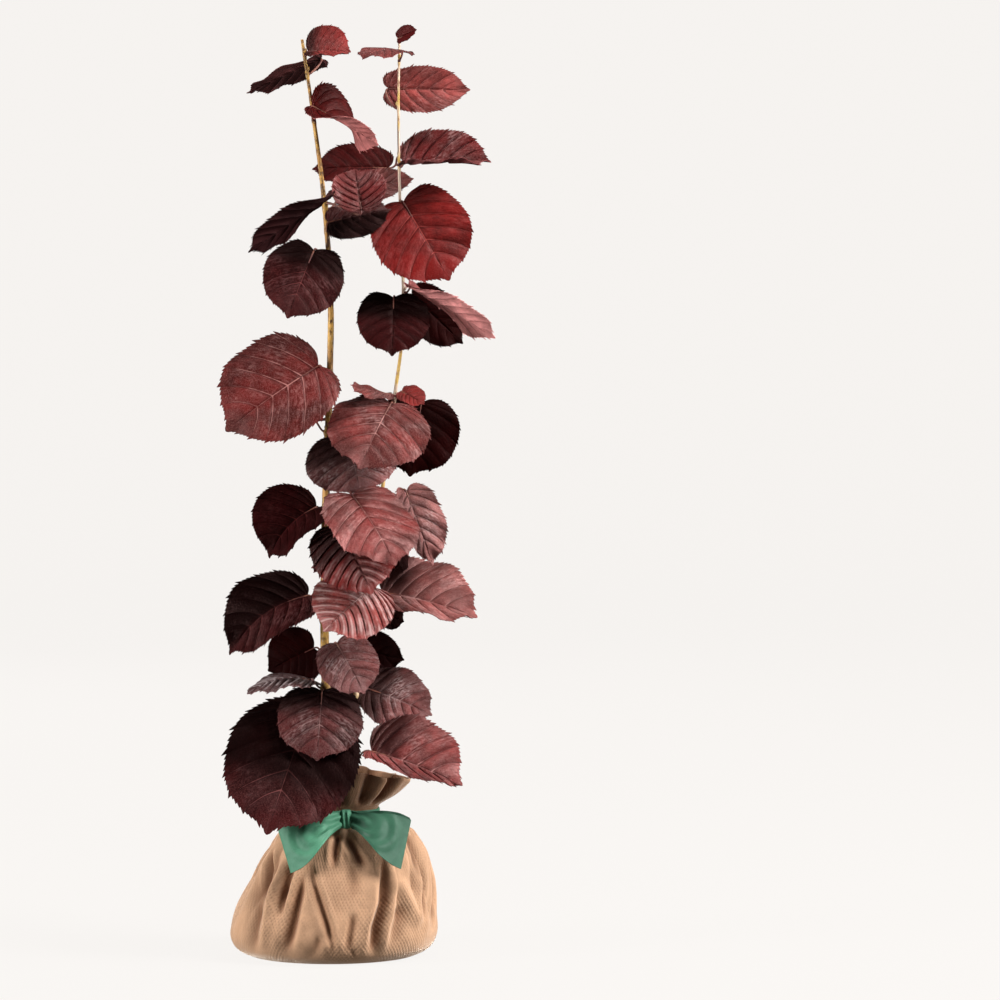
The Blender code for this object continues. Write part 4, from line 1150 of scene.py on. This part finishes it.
def sack_cloth(rows, settings, chance):
    """Places of the cloth, ring by ring, and how much painted shade each one gets."""
    angles = turns_of(SACK_COLUMNS)
    heights, half_width, half_depth, folds = [column[:, None] for column in rows.T]
    ring = np.arange(len(rows))[:, None] / SACK_RINGS_PER_STATION
    shift = NECK_SHIFT * smooth((heights - 0.015) / 0.095)
    fold = FOLD_DEPTH * folds * (np.cos(FOLD_COUNT * angles) + 0.5 * np.sin(5 * angles + 1.0))
    below = smooth((heights - 0.003) / 0.02) * smooth((0.126 - heights) / 0.014) * (ring < TIE_STATION)
    z = heights + np.zeros(angles.shape)
    plain_x = shift + half_width * np.cos(angles)
    pressed = sack_creases(np.broadcast_to(angles, z.shape), plain_x, z, settings.crease_scale, chance)
    pressed = pressed * below
    near_tie = np.exp(-(((heights - GATHER_HEIGHT) / 0.010) ** 2)) * (ring < TIE_STATION)
    tied = 0.0016 * near_tie * np.sin(27 * angles + 2.5 * np.sin(3 * angles))
    ruffle = smooth((ring - RUFFLE_START) / 1.5) * smooth((RUFFLE_END - ring) / 1.5)
    pleats = ruffle_pleats(ruffle, angles, heights)
    valleys = gathers(angles, heights) * below
    swell = fold * 0.45 * (1 - ruffle) - pressed - settings.crease_scale * 0.0032 * valleys + tied + pleats
    # Painted shade: in the creases and the valleys under the tie, over the whole ruffle for the shadow the
    # leaves cast on it and deeper in its pleats, and round the neck from the tie up into the ruffle.
    hollow = np.clip(pressed / 0.0050 + 0.22 * valleys, 0, 1)
    hollow = hollow + ruffle * (0.3 + 0.7 * np.clip(-pleats / 0.005, 0, 1))
    hollow += 0.5 * smooth((ring - 11.5) / 0.5) * smooth((14.3 - ring) / 1.6)
    above_floor = np.clip((heights - FUNNEL_FLOOR) / (RUFFLE_HEIGHT - FUNNEL_FLOOR), 0, 1)
    dips = (1 - np.cos(9 * angles + 2 * np.sin(2 * angles))) / 2
    x = shift + (half_width + swell) * np.cos(angles)
    y = (half_depth + swell) * np.sin(angles)
    z = z - RIM_TILT * above_floor * np.cos(angles) - RIM_DIP * above_floor * dips
    return np.stack([x, y, z], axis=-1), hollow


def cloth_coordinates(cloth, points):
    """Corner coordinates in metres of cloth: round the sack and up it, and flat on its two end faces."""
    columns = np.arange(SACK_COLUMNS) * SACK_GIRTH / SACK_COLUMNS
    next_columns = columns + SACK_GIRTH / SACK_COLUMNS
    corners = np.zeros((len(cloth) - 1, SACK_COLUMNS, 4, 2))
    corners[..., 0] = np.stack([columns, next_columns, next_columns, columns], axis=-1)[None]
    corners[..., 1] = np.stack([cloth[:-1], cloth[:-1], cloth[1:], cloth[1:]], axis=-1)[:, None]
    return np.concatenate([corners.ravel(), points[0, ::-1, :2].ravel(), points[-1, :, :2].ravel()])


def build_sack(settings, chance, material, collection):
    """The sack's cloth from the underside over its belly and ruffle to the floor inside the ruffle."""
    rows, cloth = sack_profile()
    points, hollow = sack_cloth(rows, settings, chance)
    faces = ring_faces(len(rows), SACK_COLUMNS)
    obj = new_piece("jute_sack", points.reshape(-1, 3), faces, material, collection)
    keep_coordinates(obj.data, "cloth", cloth_coordinates(cloth, points))
    keep_values(obj.data, "hollow", hollow.ravel())
    return obj


def jute_threads(mix, weave, pitch):
    """The weave: threads over and under each other in rows, above 0 on a thread and below between them."""
    wander = mix.add("ShaderNodeTexNoise", output=1, Vector=weave, Scale=90.0, Detail=2.0)
    moved = mix.add("ShaderNodeVectorMath", settings={"operation": "SCALE"}, Vector=wander, Scale=0.0016)
    places = mix.add("ShaderNodeVectorMath", settings={"operation": "ADD"})
    mix.feed(places.node.inputs[0], weave)
    mix.feed(places.node.inputs[1], moved)
    split = mix.add("ShaderNodeSeparateXYZ", Vector=places)
    over = mix.maths("SINE", mix.times(split, 2 * math.pi / pitch))
    row = mix.maths("SINE", mix.times(split.node.outputs[1], math.pi / (0.85 * pitch)))
    return mix.times(over, row)


def jute_material(settings):
    """Loosely woven jute, worn and fibrous, with painted sheen where it turns away and painted shade in
    hollows.
    """
    mix = Mixture("jute")
    jute = tuple(settings.colour)
    weave = mix.coordinates("cloth")
    threads = jute_threads(mix, weave, settings.thread_pitch)
    fibres = mix.speckle(mix.stretch(weave, (900.0, 2600.0, 1.0)), 1.0, 3.0, 0.6)
    places = mix.places()
    worn = mix.speckle(places, 34.0, 4.0, 0.6)
    fade = mix.ramp(mix.speckle(places, 22.0, 2.0), 0.38, 0.60, 0.15, 1.0)
    grain = mix.ramp(mix.speckle(places, 420.0, 2.0, 0.6), 0.4, 0.7, 0.0, 0.3)
    pits = mix.times(mix.ramp(threads, -0.15, -0.9, 0.0, 1.0), mix.times(fade, 0.42))
    cloth = mix.blend(mix.ramp(worn, 0.3, 0.7), shade(jute, 0.74), shade(jute, 1.08))
    cloth = mix.blend(mix.ramp(fibres, 0.35, 0.75, 0.0, 0.28), cloth, shade(jute, 1.3))
    cloth = mix.blend(grain, cloth, shade(jute, 0.62))
    cloth = mix.blend(pits, cloth, shade(jute, 0.33))
    # Painted sheen: the cloth lightened where it turns away from the view.
    edge = mix.maths("POWER", mix.turned_away(), 2.0)
    cloth = mix.blend(mix.times(edge, 0.8), cloth, shade(jute, 2.0))
    shadow = tuple(channel * share for channel, share in zip(jute, (0.24, 0.14, 0.09)))
    cloth = mix.blend(mix.times(mix.kept("hollow"), 0.8), cloth, shadow)
    relief = mix.plus(mix.times(mix.times(threads, fade), 0.42), mix.times(fibres, 0.5))
    mix.shader.inputs["Sheen Weight"].default_value = 1.0
    mix.shader.inputs["Sheen Roughness"].default_value = 0.32
    mix.shader.inputs["Sheen Tint"].default_value = (1.0, 0.86, 0.72, 1)
    return mix.finish(cloth, relief, 0.0005, 0.88, 0.2)


def build_band(settings, material, collection):
    """The ribbon round the neck, bowed out a little between its hems and creased where it is pulled tight."""
    inner = NECK_RADIUS + BAND_CLEARANCE
    low, high = TIE_LOW + BAND_CLEARANCE, TIE_HIGH - BAND_CLEARANCE
    turns = turns_of(BAND_SIDES)
    shares = np.linspace(0, 1, BAND_ROWS + 1)
    radii = [np.full(BAND_SIDES, inner)]
    for share in shares:
        bow = 0.0008 * math.sin(math.pi * share) ** 0.5
        pull = 0.00035 * np.sin(9 * turns + 7 * share) * math.sin(math.pi * share)
        radii.append(inner + settings.thickness + bow + pull)
    radii.append(np.full(BAND_SIDES, inner))
    heights = [low, *(low + (high - low) * shares), high]
    rings = [ring_points((NECK_SHIFT, 0, height), radius, turns) for radius, height in zip(radii, heights)]
    faces = ring_faces(len(rings), BAND_SIDES, "joined")
    return new_piece("tie_ribbon", np.concatenate(rings), faces, material, collection)


def knot_point(turn, lift):
    """A place on the knot, which is squarer than a ball, drawn in at its waist and folded in front."""
    flat = abs(math.cos(lift)) ** 0.35
    x = math.copysign(abs(math.cos(turn)) ** 0.62, math.cos(turn)) * flat
    y = math.copysign(abs(math.sin(turn)) ** 0.62, math.sin(turn)) * flat
    z = math.copysign(abs(math.sin(lift)) ** 0.75, lift)
    waist = 1 - 0.07 * (1 - z * z)
    folds = 0.0009 * math.cos(7.5 * x + 1.1 * z + 0.5) if y < 0 else 0
    place_on = np.array((x * waist, y, z)) * np.array(KNOT_SIZE) * 0.5
    place_on[1] += folds * flat
    return place_on + np.array(KNOT_CENTRE)


def build_knot(material, collection):
    """The bow's knot: a soft block drawn in by the folds that run down it."""
    lifts = [math.pi * (ring / KNOT_RINGS - 0.5) for ring in range(1, KNOT_RINGS)]
    points = [knot_point(turn, lift) for lift in lifts for turn in turns_of(KNOT_SIDES)]
    return new_piece("ribbon_knot", points, ring_faces(len(lifts), KNOT_SIDES), material, collection)


def loop_point(loop, layer, along, across):
    """A place on a bow loop. The layer is 0 behind or 1 in front, and across runs up."""
    share = smooth(along)
    spread = smooth(along * 1.15)
    half_width = LOOP_KNOT_HALF_WIDTH + (loop.end_half_width - LOOP_KNOT_HALF_WIDTH) * spread
    x = KNOT_SIZE[0] / 2 - 0.001 + (loop.length + 0.001) * along + loop.slant * share * across
    z = KNOT_CENTRE[2] - loop.drop * along**1.2 + half_width * across
    lean = 0.004 + 0.008 * smooth(along * 2)
    z += (1 - layer) * 0.0016 * smooth(along * 1.6)
    puff = 0.0018 + LOOP_PUFF * math.sin(math.pi * min(along, 1) ** 0.8) ** 0.8
    y = LOOP_FRONT - 0.013 * smooth(along * 1.6) + lean * across - layer * puff
    return np.array((NECK_SHIFT + loop.side * x, y, z))


def loop_wrinkle(loop, layer, along, across):
    """The height of the folds that fan out from the knot and of the rounded ones that follow them."""
    fan = 0.0013 * math.cos(6.5 * across + 0.8) * math.exp(-((along / 0.3) ** 2))
    bow = math.hypot(along - loop.swirl[0], 0.6 * (across - loop.swirl[1]))
    fade = smooth((along - 0.12) * 5) * smooth((1.0 - along) * 4)
    rounded = 0.0013 * math.sin(2 * math.pi * (3.6 * bow + 0.72)) * float(fade)
    return (fan + rounded * (1 - 0.75 * across**2)) * (1 if layer else -0.6)


def loop_faces(wide, long):
    """Faces of a strip with an outer and an inner skin, its two hems and its two ends."""
    skin = wide * long
    faces = []
    for i in range(long - 1):
        for r in range(wide - 1):
            quad = (i * wide + r, i * wide + r + 1, (i + 1) * wide + r + 1, (i + 1) * wide + r)
            faces.append(quad)
            faces.append(tuple(skin + corner for corner in reversed(quad)))
        for r in (0, wide - 1):
            hem = (i * wide + r, (i + 1) * wide + r, skin + (i + 1) * wide + r, skin + i * wide + r)
            faces.append(hem if r == 0 else tuple(reversed(hem)))
    for i in (0, long - 1):
        for r in range(wide - 1):
            end = (i * wide + r + 1, i * wide + r, skin + i * wide + r, skin + i * wide + r + 1)
            faces.append(end if i == 0 else tuple(reversed(end)))
    return faces


def build_bow_loop(loop, thickness, material, collection):
    """A loop of ribbon that runs out in front, turns at its end and comes back behind."""
    out = [step / BOW_STEPS for step in range(BOW_STEPS + 1)]
    line = [(1, along) for along in out] + [(0, along) for along in out[-2::-1]]
    rows = [2 * r / BOW_ROWS - 1 for r in range(BOW_ROWS + 1)]
    grid = np.array([[loop_point(loop, *step, across) for across in rows] for step in line])
    heights = np.array([[loop_wrinkle(loop, *step, across) for across in rows] for step in line])
    heights *= np.array([1 if layer else -1 for layer, along in line])[:, None]
    normals = np.cross(np.gradient(grid, axis=0), np.gradient(grid, axis=1))
    normals /= np.linalg.norm(normals, axis=2, keepdims=True)
    normals *= -loop.side
    middle = grid + normals * heights[..., None]
    skins = [middle + normals * thickness / 2, middle - normals * thickness / 2]
    points = np.concatenate([skin.reshape(-1, 3) for skin in skins])
    faces = loop_faces(len(rows), len(line))
    obj = new_piece(loop.node + "_ribbon", points, faces, material, collection)
    if loop.side > 0:
        obj.data.flip_normals()
    return obj


def ribbon_material(name, settings, share):
    """Satin ribbon in a share of its colour: fine threads, a soft sheen and slightly darker clouds."""
    mix = Mixture(name)
    places = mix.places()
    threads = mix.speckle(mix.stretch(places, (500.0, 500.0, 5200.0)), 1.0, 2.0)
    cross_threads = mix.speckle(mix.stretch(places, (4200.0, 600.0, 500.0)), 1.0, 2.0)
    cloud = mix.speckle(places, 120.0, 3.0)
    colour = shade(settings.colour, share)
    base = mix.blend(mix.ramp(cloud, 0.3, 0.7), shade(colour, 0.82), colour)
    base = mix.blend(mix.ramp(threads, 0.35, 0.7, 0.0, 0.3), base, shade(colour, 1.35))
    relief = mix.plus(mix.times(threads, 0.6), mix.times(cross_threads, 0.4))
    mix.shader.inputs["Sheen Weight"].default_value = 0.02
    return mix.finish(base, relief, 0.00012, mix.ramp(cloud, 0.3, 0.7, 0.46, 0.40), 0.12)


def add_light(light, power, collection):
    """A round soft light, which the camera doesn't see."""
    data = bpy.data.lights.new(light.name, "AREA")
    data.shape = "DISK"
    data.size = light.size
    data.energy = power
    obj = bpy.data.objects.new(light.name, data)
    obj.location = light.location
    obj.rotation_euler = (Vector(light.aim) - obj.location).to_track_quat("-Z", "Y").to_euler()
    obj.visible_camera = False
    obj.visible_glossy = light.glossy
    collection.objects.link(obj)


def backdrop_material(colour):
    """A pale card that looks evenly lit and takes only a faint shadow."""
    mix = Mixture("backdrop")
    grain = mix.speckle(mix.places(), 300.0, 2.0)
    mix.shader.inputs["Emission Strength"].default_value = 0.985
    mix.shader.inputs["Emission Color"].default_value = (*colour, 1)
    card = mix.blend(grain, shade(colour, 0.025), shade(colour, 0.03))
    return mix.finish(card, grain, 0.00005, 1.0, 0.0)


def build_backdrop(colour, collection):
    """A round floor that curves up into a wide bowl all round the plant."""
    profile = [(radius, FLOOR_HEIGHT) for radius in FLOOR_RADII]
    for step in range(1, CURVE_STEPS + 1):
        turn = math.pi / 2 * step / CURVE_STEPS
        rise = FLOOR_CURVE - FLOOR_CURVE * math.cos(turn)
        profile.append((FLOOR_RADII[-1] + FLOOR_CURVE * math.sin(turn), rise + FLOOR_HEIGHT))
    profile.append((FLOOR_RADII[-1] + FLOOR_CURVE, WALL_HEIGHT))
    turns = turns_of(BACKDROP_SIDES)
    rings = [ring_points((0, 0, height), radius, turns) for radius, height in profile]
    faces = ring_faces(len(rings), BACKDROP_SIDES, "open")
    obj = new_mesh("backdrop", np.concatenate(rings), faces, collection)
    weld(obj.data, 0.00001)
    obj.data.flip_normals()
    soften(obj.data)
    obj.data.materials.append(backdrop_material(colour))
    obj.visible_diffuse = False
    obj.visible_glossy = False
    obj.visible_shadow = False


def build_world(strength):
    """Soft light from all round, a little stronger from below, as off a pale floor."""
    world = bpy.data.worlds.new("soft light")
    bpy.context.scene.world = world
    world.use_nodes = True
    tree = world.node_tree
    background = tree.nodes["Background"]
    places = tree.nodes.new("ShaderNodeTexCoord")
    split = tree.nodes.new("ShaderNodeSeparateXYZ")
    height = tree.nodes.new("ShaderNodeMapRange")
    height.inputs["From Min"].default_value = -0.7
    height.inputs["From Max"].default_value = 0.8
    height.inputs["To Min"].default_value = strength * 2.2
    height.inputs["To Max"].default_value = strength * 1.3
    tree.links.new(places.outputs["Generated"], split.inputs[0])
    tree.links.new(split.outputs[2], height.inputs["Value"])
    tree.links.new(height.outputs[0], background.inputs["Strength"])
    background.inputs["Color"].default_value = (1.0, 0.985, 0.97, 1)


def add_camera(collection):
    """The photograph's view: level with the crown's middle from four metres in front."""
    camera = bpy.data.cameras.new("camera")
    camera.lens = CAMERA_LENS
    camera.sensor_width = CAMERA_SENSOR
    obj = bpy.data.objects.new("camera", camera)
    obj.location = CAMERA_PLACE
    obj.rotation_euler = (Vector(CAMERA_AIM) - obj.location).to_track_quat("-Z", "Y").to_euler()
    collection.objects.link(obj)
    bpy.context.scene.camera = obj


def collection_named(name):
    found = bpy.data.collections.get(name)
    if found is None:
        found = bpy.data.collections.new(name)
        bpy.context.scene.collection.children.link(found)
    return found


class HAZEL_OT_leaves(bpy.types.Operator):
    """Grow every leaf with its stalk, teeth, veins and quilting"""

    bl_idname = "hazel.leaves"
    bl_label = "Leaves"
    bl_options = {"REGISTER", "UNDO"}

    def execute(self, context):
        settings = context.scene.hazel_leaf
        collection = collection_named("leaves")
        stalk = stalk_material()
        sets = {}
        for name, finish in FINISHES.items():
            upper, vein, under = (tone(*colour) for colour in finish[:3])
            pale = tuple(min(1, c * 1.45 + 0.01) for c in under)
            matt = finish._replace(roughness=0.6, bloom=0.1)
            pairs = vein_pairs(finish, settings)
            sets[name] = (
                leaf_material(f"leaf {name}", upper, vein, finish, pairs, 0.55),
                leaf_material(f"leaf {name} underside", under, pale, matt, pairs, 0.6),
                stalk,
            )
        for stem in (MAIN_STEM, SIDE_STEM):
            for number, leaf in enumerate(LEAVES[stem.name], 1):
                node = stem.name.replace("stem", f"leaf_{number:02d}")
                chance = np.random.default_rng(LEAF_SEEDS[stem.name] + number)
                materials = sets[leaf.finish]
                piece = build_leaf(node + "_grown", stem, leaf, settings, chance, materials, collection)
                place(piece, node)
        return {"FINISHED"}


class HAZEL_OT_stems(bpy.types.Operator):
    """Cover both stems with bark, swollen nodes and buds"""

    bl_idname = "hazel.stems"
    bl_label = "Stems"
    bl_options = {"REGISTER", "UNDO"}

    def execute(self, context):
        settings = context.scene.hazel_stem
        collection = collection_named("stems")
        main_tones = tuple(settings.main_colour), tone(196, 142, 70), tone(78, 42, 22)
        side_tones = tuple(settings.side_colour), tone(214, 174, 86), tone(150, 104, 78)
        main = bark_material("main bark", *main_tones, 0.55)
        side = bark_material("side bark", *side_tones, 0.62)
        for stem, material in ((MAIN_STEM, main), (SIDE_STEM, side)):
            chance = np.random.default_rng(STEM_SEED)
            piece = build_stem(stem, settings, chance, material, collection)
            place(piece, stem.name)
        return {"FINISHED"}


class HAZEL_OT_sack(bpy.types.Operator):
    """Drape the jute sack with its creases and ruffle"""

    bl_idname = "hazel.sack"
    bl_label = "Sack"
    bl_options = {"REGISTER", "UNDO"}

    def execute(self, context):
        settings = context.scene.hazel_sack
        material = jute_material(settings)
        chance = np.random.default_rng(SACK_SEED)
        piece = build_sack(settings, chance, material, collection_named("sack"))
        place(piece, "sack")
        return {"FINISHED"}


class HAZEL_OT_ribbon(bpy.types.Operator):
    """Tie the ribbon round the neck with its bow"""

    bl_idname = "hazel.ribbon"
    bl_label = "Ribbon and bow"
    bl_options = {"REGISTER", "UNDO"}

    def execute(self, context):
        settings = context.scene.hazel_ribbon
        collection = collection_named("ribbon")
        material = ribbon_material("ribbon", settings, 0.84)
        # Painted shade: the right loop is a darker copy of the ribbon, for the shadow that falls on it.
        shaded_ribbon = ribbon_material("ribbon right loop", settings, 0.39)
        place(build_band(settings, material, collection), "ribbon_band")
        place(build_knot(material, collection), "bow_knot")
        for loop in LOOPS:
            cloth = material if loop.side < 0 else shaded_ribbon
            place(build_bow_loop(loop, settings.thickness, cloth, collection), loop.node)
        return {"FINISHED"}


class HAZEL_OT_stage(bpy.types.Operator):
    """Set the backdrop, the lights and the camera"""

    bl_idname = "hazel.stage"
    bl_label = "Stage"
    bl_options = {"REGISTER", "UNDO"}

    def execute(self, context):
        settings = context.scene.hazel_stage
        collection = collection_named("stage")
        context.scene.view_settings.view_transform = "Standard"
        build_backdrop(tuple(settings.colour), collection)
        build_world(settings.fill)
        for light in LIGHTS:
            add_light(light, getattr(settings, light.power_setting), collection)
        add_camera(collection)
        return {"FINISHED"}


class HAZEL_PT_panel(bpy.types.Panel):
    """Lists the plant's pieces and their settings"""

    bl_label = "Purple hazel"
    bl_idname = "HAZEL_PT_panel"
    bl_space_type = "VIEW_3D"
    bl_region_type = "UI"
    bl_category = "Hazel"

    def draw(self, context):
        for operator, group in PIECES:
            box = self.layout.box()
            box.operator(operator.bl_idname)
            settings = getattr(context.scene, group)
            for field in settings.__annotations__:
                box.prop(settings, field)


PIECES = (
    (HAZEL_OT_sack, "hazel_sack"),
    (HAZEL_OT_ribbon, "hazel_ribbon"),
    (HAZEL_OT_stems, "hazel_stem"),
    (HAZEL_OT_leaves, "hazel_leaf"),
    (HAZEL_OT_stage, "hazel_stage"),
)
GROUPS = {
    "hazel_sack": HazelSackSettings,
    "hazel_ribbon": HazelRibbonSettings,
    "hazel_stem": HazelStemSettings,
    "hazel_leaf": HazelLeafSettings,
    "hazel_stage": HazelStageSettings,
}
CLASSES = (*GROUPS.values(), *(operator for operator, group in PIECES), HAZEL_PT_panel)


def register():
    for each in CLASSES:
        bpy.utils.register_class(each)
    for name, group in GROUPS.items():
        setattr(bpy.types.Scene, name, bpy.props.PointerProperty(type=group))


def unregister():
    for name in GROUPS:
        delattr(bpy.types.Scene, name)
    for each in reversed(CLASSES):
        bpy.utils.unregister_class(each)


def write_sizes():
    """Brings the view layer up to date."""
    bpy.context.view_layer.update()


def main():
    register()
    bpy.ops.hazel.sack()
    bpy.ops.hazel.ribbon()
    bpy.ops.hazel.stems()
    bpy.ops.hazel.leaves()
    bpy.ops.hazel.stage()
    write_sizes()


if __name__ == "__main__":
    main()
